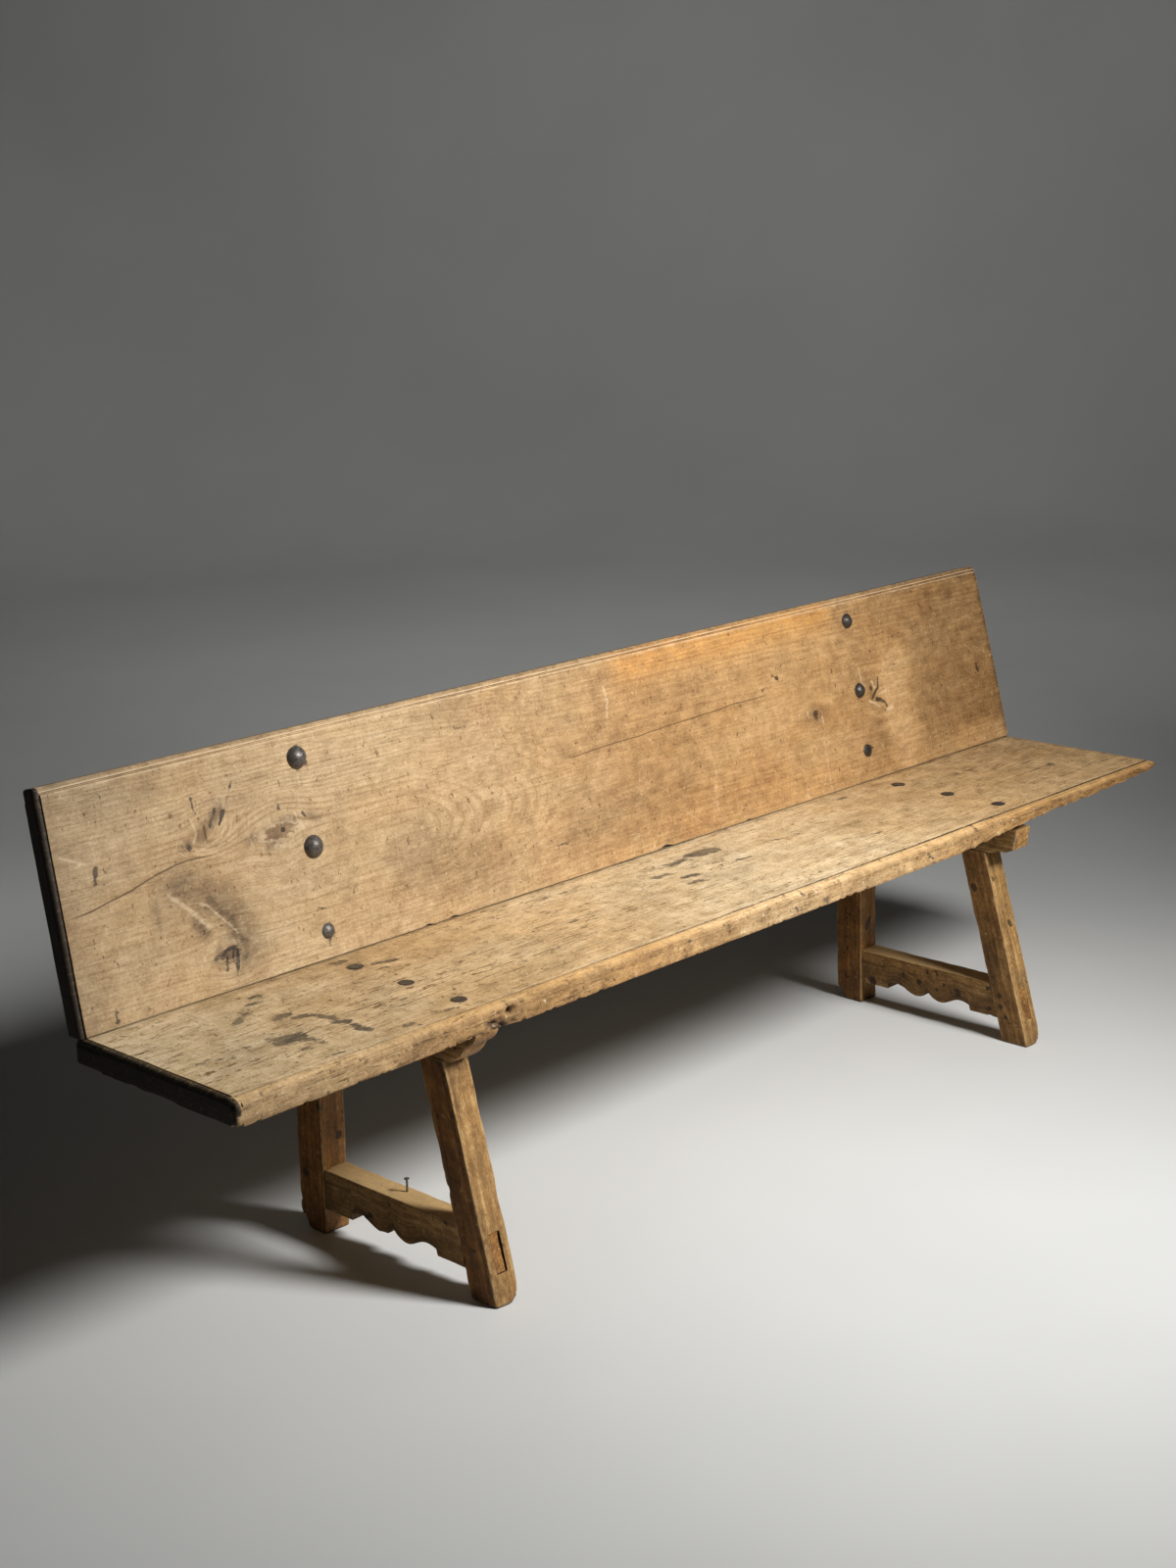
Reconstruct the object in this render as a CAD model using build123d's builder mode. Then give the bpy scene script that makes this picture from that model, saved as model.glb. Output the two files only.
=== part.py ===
"""Long rustic plank bench with a leaning plank back, carried on two pegged trestle frames.

Millimetres. +X runs along the bench, to the right as seen from the front, -Y is the front and +Z is up.
The origin is on the floor, under the middle of the bench's outline.
"""
import os
from math import cos, radians, sin

from build123d import *

os.makedirs("parts", exist_ok=True)

# Seat plank
seat_height = 450.0
seat_length = 2280.0
seat_depth = 363.0
seat_thickness = 37.0
seat_rear_rounding = 6.0

# Thumbnail moulding on the seat: a wide one in front, a narrow one on each end
front_moulding_width = 23.0
front_moulding_drop = 6.0
end_moulding_width = 12.0
end_moulding_radius = 7.0
quirk_width = 3.0
quirk_depth = 3.5

# Back plank, standing on the seat's rear edge and moulded along its top and left end
back_width = 359.0
back_thickness = 28.0
back_lean = 12.0
back_lap = 15.0
back_moulding_width = 11.0
back_moulding_radius = 6.0
back_rear_rounding = 5.0

# Trestle frames
trestle_spacing = 1368.0
leg_width = 49.0
front_leg_depth = 56.0
front_foot_lead = 22.0
front_leg_setback = 75.0
rear_leg_depth = 60.0
post_top_depth = 34.0
post_top_drop = 20.0
knee_below_seat = 30.0

# Seat battens, with a lobed nose on the left one and a blunt nose on the right one
batten_height = 53.0
batten_width = 46.0
nose_setback = 4.0
lobe_reach = 25.0
lobe_fall = 23.0
lobe_bulge = 4.0
nose_length = 56.0
blunt_setback = 6.0
blunt_rake = 7.0
blunt_height = 39.0
blunt_heel_rise = 6.0
blunt_heel_start = 24.0
blunt_heel_end = 46.0

# Stretchers with a scalloped lower edge
stretcher_bottom = 42.0
stretcher_height = 66.0
stretcher_thickness = 44.0
scallop_rise = 15.0
scallop_lobe = 28.0
scallop_arch = 76.0
scallop_end = 97.0
scallop_end_rise = 10.0

# Mortises, tenons and pegs
tenon_thickness = 18.0
tenon_shoulder = 4.0
through_tenon_recess = 3.0
blind_tenon_length = 42.0
leg_tenon_length = 38.0
leg_tenon_shoulder = 12.0
batten_tenon_shoulder = 7.0
mortise_gap = 1.5
joint_fit = 0.2
peg_diameter = 9.0
peg_fit = 0.1

# Forged nails
nail_shank = 5.0
nail_point = 8.0
nail_fit = 0.1
left_dome_diameter = 37.0
left_dome_height = 12.0
right_dome_diameter = 30.0
right_dome_height = 9.0
small_head_diameter = 25.0
small_head_height = 5.0
back_nail_hold = 26.0
top_nail_edge = 48.0
bottom_nail_edge = 50.0
seat_head_diameter = 26.0
seat_head_height = 2.5
seat_head_sink = 1.5
seat_nail_hold = 32.0
front_nail_edge = 62.0
rear_nail_edge = 73.0
loose_nail_diameter = 3.5
loose_nail_head_diameter = 9.0
loose_nail_head_height = 2.0
loose_nail_proud = 22.0
loose_nail_hold = 22.0
loose_nail_offset = 8.0

# Directions of the leaning back: up along the plank, and straight out of its front face
lean = radians(back_lean)
back_up = Vector(0, sin(lean), cos(lean))
back_out = Vector(0, -cos(lean), sin(lean))

# Reach from the seat's front edge to the rearmost point, which sets the origin
back_foot = seat_depth - back_lap
post_run = back_width - post_top_drop
back_top_reach = back_foot + back_width * sin(lean) + back_thickness * cos(lean)
post_top_reach = back_foot + post_run * sin(lean) + (back_thickness + post_top_depth) * cos(lean)
rear_reach = max(back_top_reach, post_top_reach, seat_depth + rear_leg_depth)
seat_front = (front_foot_lead - rear_reach) / 2

# Heights and faces that the pieces share
seat_underside = seat_height - seat_thickness
batten_bottom = seat_underside - batten_height
stretcher_top = stretcher_bottom + stretcher_height
post_front = seat_front + seat_depth
post_back = post_front + rear_leg_depth
back_length = seat_length
top_nail_rise = back_width - top_nail_edge
rear_nail_place = seat_depth - rear_nail_edge
nail_rows = (bottom_nail_edge, (bottom_nail_edge + top_nail_rise) / 2, top_nail_rise)
seat_nail_places = (front_nail_edge, (front_nail_edge + rear_nail_place) / 2, rear_nail_place)
leg_slope = (front_leg_setback + front_foot_lead) / batten_bottom
peg_hole_radius = peg_diameter / 2 + peg_fit
nail_hole_side = nail_shank + 2 * nail_fit
sides = (("left", -trestle_spacing / 2), ("right", trestle_spacing / 2))


def leg_front(height):
    """Y of a front leg's raked front face at a height."""
    return seat_front - front_foot_lead + leg_slope * height


def leg_rear(height):
    """Y of a front leg's raked rear face at a height."""
    return leg_front(height) + front_leg_depth


def back_point(x, rise, depth=0.0):
    """Point on the back plank: rise is measured up its front face, depth into its thickness."""
    return Vector(x, seat_front + back_foot, seat_height) + back_up * rise - back_out * depth


def back_face(x, rise, depth=0.0):
    """Plane parallel to the back's front face, with local Y up along the plank."""
    return Plane(back_point(x, rise, depth), x_dir=(1, 0, 0), z_dir=back_out)


# Pegged joints: the middle of each tenon, as seen from the side
stretcher_middle = stretcher_bottom + stretcher_height / 2
batten_middle = batten_bottom + batten_height / 2
leg_tenon_middle = batten_bottom + leg_tenon_length / 2
stretcher_pegs = (
    (leg_front(stretcher_middle) + front_leg_depth / 2, stretcher_middle),
    (post_front + blind_tenon_length / 2, stretcher_middle),
)
batten_pegs = (
    (leg_front(leg_tenon_middle) + front_leg_depth / 2, leg_tenon_middle),
    (post_front + blind_tenon_length / 2, batten_middle),
)
front_leg_pegs = (stretcher_pegs[0], batten_pegs[0])
rear_post_pegs = (stretcher_pegs[1], batten_pegs[1])

# Seat plank: the front profile runs the whole length, then the ends are moulded and the nail holes cut
quirk_start = front_moulding_width - quirk_width
with BuildPart() as seat:
    with BuildSketch(Plane.YZ):
        with BuildLine():
            Line((seat_front, seat_underside), (seat_front, seat_height - front_moulding_drop))
            TangentArc(
                (seat_front + quirk_start, seat_height),
                (seat_front, seat_height - front_moulding_drop),
                tangent=(-1, 0),
            )
            Polyline(
                (seat_front + quirk_start, seat_height),
                (seat_front + quirk_start, seat_height - quirk_depth),
                (seat_front + front_moulding_width, seat_height - quirk_depth),
                (seat_front + front_moulding_width, seat_height),
                (post_front, seat_height),
                (post_front, seat_underside),
                (seat_front, seat_underside),
            )
        make_face()
    extrude(amount=seat_length / 2, both=True)
    rear_edges = seat.faces().sort_by(Axis.Y)[-1].edges().filter_by(Axis.X)
    fillet(rear_edges, radius=seat_rear_rounding)
    for end in (-1, 1):
        end_x = end * seat_length / 2
        quirk_x = end_x - end * (end_moulding_width - quirk_width / 2)
        with BuildSketch(Plane.XZ):
            with Locations((quirk_x, seat_height)):
                Rectangle(quirk_width, 2 * quirk_depth)
            with BuildLine():
                Line((end_x - end * end_moulding_radius, seat_height), (end_x, seat_height))
                Line((end_x, seat_height), (end_x, seat_height - end_moulding_radius))
                TangentArc(
                    (end_x - end * end_moulding_radius, seat_height),
                    (end_x, seat_height - end_moulding_radius),
                    tangent=(end, 0),
                )
            make_face()
        extrude(amount=seat_depth + rear_reach, both=True, mode=Mode.SUBTRACT)
    nail_holes = [(x, seat_front + y) for _, x in sides for y in seat_nail_places]
    with BuildSketch(Plane.XY.offset(seat_height)):
        with Locations(*nail_holes):
            Rectangle(nail_hole_side, nail_hole_side)
    extrude(amount=-seat_thickness, mode=Mode.SUBTRACT)
    with BuildSketch(Plane.XY.offset(seat_height)):
        with Locations(*nail_holes):
            Circle(seat_head_diameter / 2 + nail_fit)
    extrude(amount=-seat_head_sink, mode=Mode.SUBTRACT)
seat.part.label = "seat_plank"
export_step(seat.part, "parts/seat_plank.step")

# Back plank: a leaning board cut level where it stands on the seat, with a plain right end
with BuildPart() as back:
    with BuildSketch(back_face(0, 0)):
        Rectangle(back_length, back_width, align=(Align.CENTER, Align.MIN))
    extrude(amount=-back_thickness)
    top_face = back.faces().sort_by(Axis((0, 0, 0), back_up))[-1]
    fillet(top_face.edges().filter_by(Axis.X).sort_by(Axis.Y)[-1], radius=back_rear_rounding)
    front_face = back.faces().sort_by(Axis((0, 0, 0), back_out))[-1]
    top_edge = front_face.edges().sort_by(Axis((0, 0, 0), back_up))[-1]
    left_edge = front_face.edges().sort_by(Axis.X)[0]
    fillet((top_edge, left_edge), radius=back_moulding_radius)
    quirk_rise = back_width - back_moulding_width
    quirk_end = back_moulding_width - quirk_width
    with BuildSketch(back_face(-back_length / 2, 0)):
        with Locations((quirk_end, quirk_rise)):
            Rectangle(back_length, quirk_width, align=(Align.MIN, Align.MIN))
        with Locations((quirk_end, 0)):
            Rectangle(quirk_width, back_width - quirk_end, align=(Align.MIN, Align.MIN))
    extrude(amount=-quirk_depth, mode=Mode.SUBTRACT)
    split(bisect_by=Plane.XY.offset(seat_height), keep=Keep.TOP)
    for _, x in sides:
        with BuildSketch(back_face(x, 0)):
            with Locations(*[(0, rise) for rise in nail_rows]):
                Rectangle(nail_hole_side, nail_hole_side)
        extrude(amount=-back_thickness, mode=Mode.SUBTRACT)
back.part.label = "back_plank"
export_step(back.part, "parts/back_plank.step")

# Front legs: raked, with a tenon into the batten and a through mortise for the stretcher
for side, x in sides:
    middle = Plane.YZ.offset(x)
    with BuildPart() as front_leg:
        with BuildSketch(middle):
            Polygon(
                (leg_front(0), 0),
                (leg_rear(0), 0),
                (leg_rear(batten_bottom), batten_bottom),
                (leg_front(batten_bottom), batten_bottom),
                align=None,
            )
        extrude(amount=leg_width / 2, both=True)
        tenon_tip = batten_bottom + leg_tenon_length
        with BuildSketch(middle):
            Polygon(
                (leg_front(batten_bottom) + leg_tenon_shoulder, batten_bottom),
                (leg_rear(batten_bottom) - leg_tenon_shoulder, batten_bottom),
                (leg_rear(tenon_tip) - leg_tenon_shoulder, tenon_tip),
                (leg_front(tenon_tip) + leg_tenon_shoulder, tenon_tip),
                align=None,
            )
        extrude(amount=tenon_thickness / 2, both=True)
        mortise_bottom = stretcher_bottom + tenon_shoulder - joint_fit
        mortise_top = stretcher_top - tenon_shoulder + joint_fit
        with BuildSketch(middle):
            Polygon(
                (leg_front(0), mortise_bottom),
                (leg_rear(mortise_top), mortise_bottom),
                (leg_rear(mortise_top), mortise_top),
                (leg_front(0), mortise_top),
                align=None,
            )
        extrude(amount=tenon_thickness / 2 + mortise_gap, both=True, mode=Mode.SUBTRACT)
        with BuildSketch(middle):
            with Locations(*front_leg_pegs):
                Circle(peg_hole_radius)
        extrude(amount=leg_width, both=True, mode=Mode.SUBTRACT)
    front_leg.part.label = f"{side}_front_leg"
    export_step(front_leg.part, f"parts/{side}_front_leg.step")

# Rear posts: a leg that bends at the seat and goes on up as the post that the back is nailed to
post_shoulder = seat_front + back_foot + back_thickness / cos(lean)
post_top = back_point(0, post_run, back_thickness)
post_top_rear = back_point(0, post_run, back_thickness + post_top_depth)
for side, x in sides:
    middle = Plane.YZ.offset(x)
    with BuildPart() as rear_post:
        with BuildSketch(middle):
            Polygon(
                (post_front, 0),
                (post_back, 0),
                (post_back, seat_height - knee_below_seat),
                (post_top_rear.Y, post_top_rear.Z),
                (post_top.Y, post_top.Z),
                (post_shoulder, seat_height),
                (post_front, seat_height),
                align=None,
            )
        extrude(amount=leg_width / 2, both=True)
        with BuildSketch(Plane.XZ.offset(-post_front)):
            with Locations((x, stretcher_middle)):
                Rectangle(
                    tenon_thickness + 2 * joint_fit,
                    stretcher_height - 2 * tenon_shoulder + 2 * joint_fit,
                )
            with Locations((x, batten_middle)):
                Rectangle(
                    tenon_thickness + 2 * joint_fit,
                    batten_height - 2 * batten_tenon_shoulder + 2 * joint_fit,
                )
        extrude(amount=-blind_tenon_length - joint_fit, mode=Mode.SUBTRACT)
        with BuildSketch(middle):
            with Locations(*rear_post_pegs):
                Circle(peg_hole_radius)
        extrude(amount=leg_width, both=True, mode=Mode.SUBTRACT)
        with BuildSketch(back_face(x, 0, back_thickness)):
            with Locations(*[(0, rise) for rise in nail_rows]):
                Rectangle(nail_hole_side, nail_hole_side)
        extrude(amount=-back_nail_hold - nail_fit, mode=Mode.SUBTRACT)
    rear_post.part.label = f"{side}_rear_post"
    export_step(rear_post.part, f"parts/{side}_rear_post.step")

# Seat battens: bearers from the front edge back to the posts, each with its own nose
for side, x in sides:
    middle = Plane.YZ.offset(x)
    with BuildPart() as batten:
        with BuildSketch(middle):
            with BuildLine():
                if side == "left":
                    nose = seat_front + nose_setback
                    crease = (nose + lobe_reach, seat_underside - lobe_fall)
                    heel = (nose + nose_length, batten_bottom)
                    SagittaArc((nose, seat_underside), crease, lobe_bulge)
                    SagittaArc(crease, heel, lobe_bulge)
                else:
                    nose = seat_front + blunt_setback
                    toe = (nose + blunt_rake, seat_underside - blunt_height)
                    heel = (nose + blunt_heel_end + blunt_heel_rise, batten_bottom)
                    Polyline(
                        (nose, seat_underside),
                        toe,
                        (nose + blunt_heel_start, batten_bottom + blunt_heel_rise),
                        (nose + blunt_heel_end, batten_bottom + blunt_heel_rise),
                        heel,
                    )
                Polyline(
                    heel,
                    (post_front, batten_bottom),
                    (post_front, seat_underside),
                    (nose, seat_underside),
                )
            make_face()
        extrude(amount=batten_width / 2, both=True)
        with BuildSketch(middle):
            Polygon(
                (post_front, batten_bottom + batten_tenon_shoulder),
                (post_front + blind_tenon_length, batten_bottom + batten_tenon_shoulder),
                (post_front + blind_tenon_length, seat_underside - batten_tenon_shoulder),
                (post_front, seat_underside - batten_tenon_shoulder),
                align=None,
            )
        extrude(amount=tenon_thickness / 2, both=True)
        mortise_tip = batten_bottom + leg_tenon_length + joint_fit
        with BuildSketch(middle):
            Polygon(
                (leg_front(batten_bottom) + leg_tenon_shoulder - joint_fit, batten_bottom),
                (leg_rear(batten_bottom) - leg_tenon_shoulder + joint_fit, batten_bottom),
                (leg_rear(mortise_tip) - leg_tenon_shoulder + joint_fit, mortise_tip),
                (leg_front(mortise_tip) + leg_tenon_shoulder - joint_fit, mortise_tip),
                align=None,
            )
        extrude(amount=tenon_thickness / 2 + joint_fit, both=True, mode=Mode.SUBTRACT)
        with BuildSketch(middle):
            with Locations(*batten_pegs):
                Circle(peg_hole_radius)
        extrude(amount=leg_width, both=True, mode=Mode.SUBTRACT)
        with BuildSketch(Plane.XY.offset(seat_underside)):
            with Locations(*[(x, seat_front + y) for y in seat_nail_places]):
                Rectangle(nail_hole_side, nail_hole_side)
        extrude(amount=-seat_nail_hold - nail_fit, mode=Mode.SUBTRACT)
    batten.part.label = f"{side}_seat_batten"
    export_step(batten.part, f"parts/{side}_seat_batten.step")

# Stretchers: scalloped below, tenoned right through the front leg and blind into the rear post
scallop_middle = (leg_rear(stretcher_bottom) + post_front) / 2
scallop_swap = (scallop_lobe + scallop_arch) / 2
loose_nail_place = (-trestle_spacing / 2 + loose_nail_offset, scallop_middle)
tenon_bottom = stretcher_bottom + tenon_shoulder
tenon_top = stretcher_top - tenon_shoulder
for side, x in sides:
    middle = Plane.YZ.offset(x)
    with BuildPart() as stretcher:
        with BuildSketch(middle):
            with BuildLine():
                Polyline(
                    (scallop_middle - scallop_end, stretcher_bottom + scallop_end_rise),
                    (scallop_middle - scallop_end, stretcher_bottom),
                    (leg_rear(stretcher_bottom), stretcher_bottom),
                    (leg_rear(stretcher_top), stretcher_top),
                    (post_front, stretcher_top),
                    (post_front, stretcher_bottom),
                    (scallop_middle + scallop_end, stretcher_bottom),
                    (scallop_middle + scallop_end, stretcher_bottom + scallop_end_rise),
                )
                for way in (-1, 1):
                    arch = (scallop_middle + way * scallop_arch, stretcher_bottom + scallop_rise)
                    lobe = (scallop_middle + way * scallop_lobe, stretcher_bottom)
                    swap = (scallop_middle + way * scallop_swap, stretcher_bottom + scallop_rise / 2)
                    end = (scallop_middle + way * scallop_end, stretcher_bottom + scallop_end_rise)
                    cusp = (scallop_middle, stretcher_bottom + scallop_rise)
                    TangentArc(arch, end, tangent=(way, 0))
                    TangentArc(arch, swap, tangent=(-way, 0))
                    TangentArc(lobe, swap, tangent=(way, 0))
                    TangentArc(lobe, cusp, tangent=(-way, 0))
            make_face()
        extrude(amount=stretcher_thickness / 2, both=True)
        with BuildSketch(middle):
            Polygon(
                (leg_front(tenon_bottom) + through_tenon_recess, tenon_bottom),
                (leg_rear(tenon_bottom), tenon_bottom),
                (leg_rear(tenon_top), tenon_top),
                (leg_front(tenon_top) + through_tenon_recess, tenon_top),
                align=None,
            )
            Polygon(
                (post_front, tenon_bottom),
                (post_front + blind_tenon_length, tenon_bottom),
                (post_front + blind_tenon_length, tenon_top),
                (post_front, tenon_top),
                align=None,
            )
        extrude(amount=tenon_thickness / 2, both=True)
        with BuildSketch(middle):
            with Locations(*stretcher_pegs):
                Circle(peg_hole_radius)
        extrude(amount=leg_width, both=True, mode=Mode.SUBTRACT)
        if side == "left":
            with BuildSketch(Plane.XY.offset(stretcher_top)):
                with Locations(loose_nail_place):
                    Circle(loose_nail_diameter / 2 + nail_fit)
            extrude(amount=-loose_nail_hold - nail_fit, mode=Mode.SUBTRACT)
    stretcher.part.label = f"{side}_stretcher"
    export_step(stretcher.part, f"parts/{side}_stretcher.step")

# Wooden pegs across each joint, flush with the sides of what they pin
for side, x in sides:
    with BuildPart() as stretcher_peg:
        with BuildSketch(Plane.YZ.offset(x)):
            with Locations(*stretcher_pegs):
                Circle(peg_diameter / 2)
        extrude(amount=leg_width / 2, both=True)
    stretcher_peg.part.label = f"{side}_stretcher_pegs"
    export_step(stretcher_peg.part, f"parts/{side}_stretcher_pegs.step")

for side, x in sides:
    with BuildPart() as batten_peg:
        with BuildSketch(Plane.YZ.offset(x)):
            with Locations(batten_pegs[0]):
                Circle(peg_diameter / 2)
        extrude(amount=batten_width / 2, both=True)
        with BuildSketch(Plane.YZ.offset(x)):
            with Locations(batten_pegs[1]):
                Circle(peg_diameter / 2)
        extrude(amount=leg_width / 2, both=True)
    batten_peg.part.label = f"{side}_batten_pegs"
    export_step(batten_peg.part, f"parts/{side}_batten_pegs.step")

# Nails that hold the back to the posts: domed heads above, larger on the left, a small head below
dome_heads = {
    "left": (left_dome_diameter, left_dome_height),
    "right": (right_dome_diameter, right_dome_height),
}
back_shank = back_thickness + back_nail_hold
for side, x in sides:
    back_nail_sets = (
        ("dome_nails", nail_rows[1:], *dome_heads[side]),
        ("small_back_nail", nail_rows[:1], small_head_diameter, small_head_height),
    )
    for name, rises, head_diameter, head_height in back_nail_sets:
        with BuildPart() as back_nail:
            for rise in rises:
                place = back_point(x, rise)
                with BuildSketch(Plane(place, x_dir=(1, 0, 0), z_dir=-back_up)):
                    with BuildLine():
                        ThreePointArc(
                            (head_diameter / 2, 0),
                            (0, head_height),
                            (-head_diameter / 2, 0),
                        )
                        Line((-head_diameter / 2, 0), (head_diameter / 2, 0))
                    make_face()
                    Rectangle(
                        head_diameter,
                        2 * head_height,
                        align=(Align.MAX, Align.CENTER),
                        mode=Mode.SUBTRACT,
                    )
                revolve(axis=Axis(place, back_out))
                with BuildSketch(back_face(x, rise)):
                    Rectangle(nail_shank, nail_shank)
                extrude(amount=nail_point - back_shank)
                with BuildSketch(back_face(x, rise, back_shank - nail_point)):
                    Rectangle(nail_shank, nail_shank)
                with BuildSketch(back_face(x, rise, back_shank)):
                    Rectangle(nail_fit, nail_fit)
                loft()
        back_nail.part.label = f"{side}_{name}"
        export_step(back_nail.part, f"parts/{side}_{name}.step")

# Nails that hold the seat to the battens: flat round heads let into the plank
seat_shank = seat_thickness + seat_nail_hold
for side, x in sides:
    with BuildPart() as seat_nail:
        for y in seat_nail_places:
            with BuildSketch(Plane((x, seat_front + y, seat_height - seat_head_sink))):
                Circle(seat_head_diameter / 2)
            extrude(amount=seat_head_height)
            with BuildSketch(Plane((x, seat_front + y, seat_height - seat_head_sink))):
                Rectangle(nail_shank, nail_shank)
            extrude(amount=seat_head_sink + nail_point - seat_shank)
            with BuildSketch(Plane((x, seat_front + y, seat_height + nail_point - seat_shank))):
                Rectangle(nail_shank, nail_shank)
            with BuildSketch(Plane((x, seat_front + y, seat_height - seat_shank))):
                Rectangle(nail_fit, nail_fit)
            loft()
    seat_nail.part.label = f"{side}_seat_nails"
    export_step(seat_nail.part, f"parts/{side}_seat_nails.step")

# A nail left standing proud on the left stretcher
with BuildPart() as loose_nail:
    with BuildSketch(Plane.XY.offset(stretcher_top - loose_nail_hold)):
        with Locations(loose_nail_place):
            Circle(loose_nail_diameter / 2)
    extrude(amount=loose_nail_hold + loose_nail_proud)
    with BuildSketch(Plane.XY.offset(stretcher_top + loose_nail_proud - loose_nail_head_height)):
        with Locations(loose_nail_place):
            Circle(loose_nail_head_diameter / 2)
    extrude(amount=loose_nail_head_height)
loose_nail.part.label = "stretcher_loose_nail"
export_step(loose_nail.part, "parts/stretcher_loose_nail.step")
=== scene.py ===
"""Looks of a long rustic plank bench: worn, stained wood on two trestles, held by forged nails.

The scene is in metres. Sizes and places in this script are in millimetres, in the bench's own frame:
+X along the bench to its right, -Y to the front, +Z up, the origin on the floor under the middle.
"""
import math

import bpy
import numpy as np
from mathutils import Matrix, Vector


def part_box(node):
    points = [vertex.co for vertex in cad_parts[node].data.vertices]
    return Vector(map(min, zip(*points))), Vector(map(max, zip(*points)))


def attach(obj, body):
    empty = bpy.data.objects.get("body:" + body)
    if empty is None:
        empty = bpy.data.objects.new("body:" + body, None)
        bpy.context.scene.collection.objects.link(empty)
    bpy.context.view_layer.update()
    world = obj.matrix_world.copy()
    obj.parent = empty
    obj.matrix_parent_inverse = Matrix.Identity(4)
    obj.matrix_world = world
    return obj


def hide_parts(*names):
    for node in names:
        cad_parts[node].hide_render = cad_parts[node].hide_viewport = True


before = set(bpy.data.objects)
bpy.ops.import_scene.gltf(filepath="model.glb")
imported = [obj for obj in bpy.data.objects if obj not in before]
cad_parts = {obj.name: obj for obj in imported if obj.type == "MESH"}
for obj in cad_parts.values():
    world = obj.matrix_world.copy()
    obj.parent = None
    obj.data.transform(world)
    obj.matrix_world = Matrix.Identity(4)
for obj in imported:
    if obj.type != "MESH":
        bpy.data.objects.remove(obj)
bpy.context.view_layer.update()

MM = 0.001

# Edges that turn by more degrees than this stay sharp
sharp_angle = 50

# Sizes that the pieces share
seat_low, seat_high = (np.array(corner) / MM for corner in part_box("seat_plank"))
seat_front, post_front = seat_low[1], seat_high[1]
underside, seat_top = seat_low[2], seat_high[2]
half_length = seat_high[0]
moulding_width = 23.0
moulding_drop = 6.0
end_moulding = 12.0
end_radius = 7.0
quirk_width = 3.0
quirk_depth = 3.5
lean = math.radians(12.0)
back_width = 359.0
back_thickness = 28.0
back_lap = 15.0
back_foot = post_front - back_lap
back_moulding = 11.0
back_radius = 6.0
trestle = 684.0
leg_width = 49.0
leg_depth = 56.0
rear_depth = 60.0
batten_width = 46.0
batten_height = 53.0
batten_bottom = underside - batten_height
foot_lead = 22.0
leg_setback = 75.0
leg_foot = seat_front - foot_lead
leg_slope = (leg_setback + foot_lead) / batten_bottom
stretcher_bottom = 42.0
stretcher_top = 108.0
stretcher_width = 44.0
tenon_width = 18.0
tenon_shoulder = 4.0
mortise_gaps = {"left": 1.5, "right": 0.1}
tenon_recess = {"left": 3.0, "right": 0.4}
blind_tenon = 42.0
peg_radius = 4.5
nail_rises = (50.0, 180.5, 311.0)
seat_nail_places = (62.0, 176.0, 290.0)
post_top_drop = 20.0
post_top_rise = back_width - post_top_drop
post_top_depth = 34.0
knee_drop = 30.0
knee = seat_top - knee_drop


# Shapes: gridded solids, smooth random fields and worn edges
def stations(low, high, step, edge, extra=()):
    """Places from low to high about step apart, closer together near both ends."""
    fan = edge * np.array([0.0, 0.15, 0.4, 0.7])
    count = max(2, round((high - low - 2 * edge) / step) + 1)
    inner = np.linspace(low + edge, high - edge, count)
    places = np.concatenate([low + fan, inner, high - fan, np.asarray(extra, float)])
    return np.unique(places.round(2))


def surface(xs, ys, zs, cells=None):
    """Points and quads of the surface of a block of cells, where cells says which are filled."""
    filled = np.ones((len(xs) - 1, len(ys) - 1, len(zs) - 1), bool) if cells is None else cells
    number = np.arange(len(xs) * len(ys) * len(zs)).reshape(len(xs), len(ys), len(zs))
    quads = []
    for axis in range(3):
        pad = [(1, 1) if a == axis else (0, 0) for a in range(3)]
        step = np.diff(np.pad(filled, pad).astype(int), axis=axis)
        first, second = (a for a in range(3) if a != axis)
        for change in (1, -1):
            cell = np.argwhere(step == change)
            corners = []
            for da, db in ((0, 0), (1, 0), (1, 1), (0, 1)):
                corner = cell.copy()
                corner[:, first] += da
                corner[:, second] += db
                corners.append(number[tuple(corner.T)])
            quad = np.stack(corners, 1)
            quads.append(quad[:, ::-1] if (change == 1) != (axis == 1) else quad)
    quads = np.concatenate(quads)
    used, quads = np.unique(quads, return_inverse=True)
    grid = np.stack(np.meshgrid(xs, ys, zs, indexing="ij"), -1).reshape(-1, 3)
    return grid[used], quads.reshape(-1, 4).tolist()


def middles(xs, ys, zs):
    """The middle of each cell of a grid."""
    return np.meshgrid(*((p[1:] + p[:-1]) / 2 for p in (xs, ys, zs)), indexing="ij")


def ripple(points, size, seed, waves=20):
    """Smooth random field, mostly from -1 to 1, with lumps of about the given size."""
    rng = np.random.default_rng(seed)
    way = rng.normal(size=(waves, points.shape[1]))
    way *= (rng.uniform(0.6, 1.4, waves) * math.pi / np.linalg.norm(way, axis=1))[:, None]
    phase = rng.uniform(0, 2 * math.pi, waves)
    return np.sin((points / np.asarray(size)) @ way.T + phase).sum(1) / math.sqrt(1.3 * waves)


def smooth(value, low, high):
    """0 at low and 1 at high, with a smooth step between, also where low is the larger."""
    t = np.clip((value - low) / (high - low), 0, 1)
    return t * t * (3 - 2 * t)


def hill(value, middle, width):
    """1 at the middle, falling smoothly to 0 beyond about the width."""
    return np.exp(-(((value - middle) / width) ** 2))


def largest(*fields):
    return np.max(fields, axis=0)


def clouds(points, size, seed):
    """Soft patches of about the given size, from 0 to 1."""
    return np.clip(ripple(points, size, seed), 0, 1)


def dips(points, size, seed, high=1.0):
    """Shallow waves over a whole face, from 0 to high."""
    return np.clip(0.5 + 0.5 * ripple(points, size, seed), 0, high)


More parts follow.
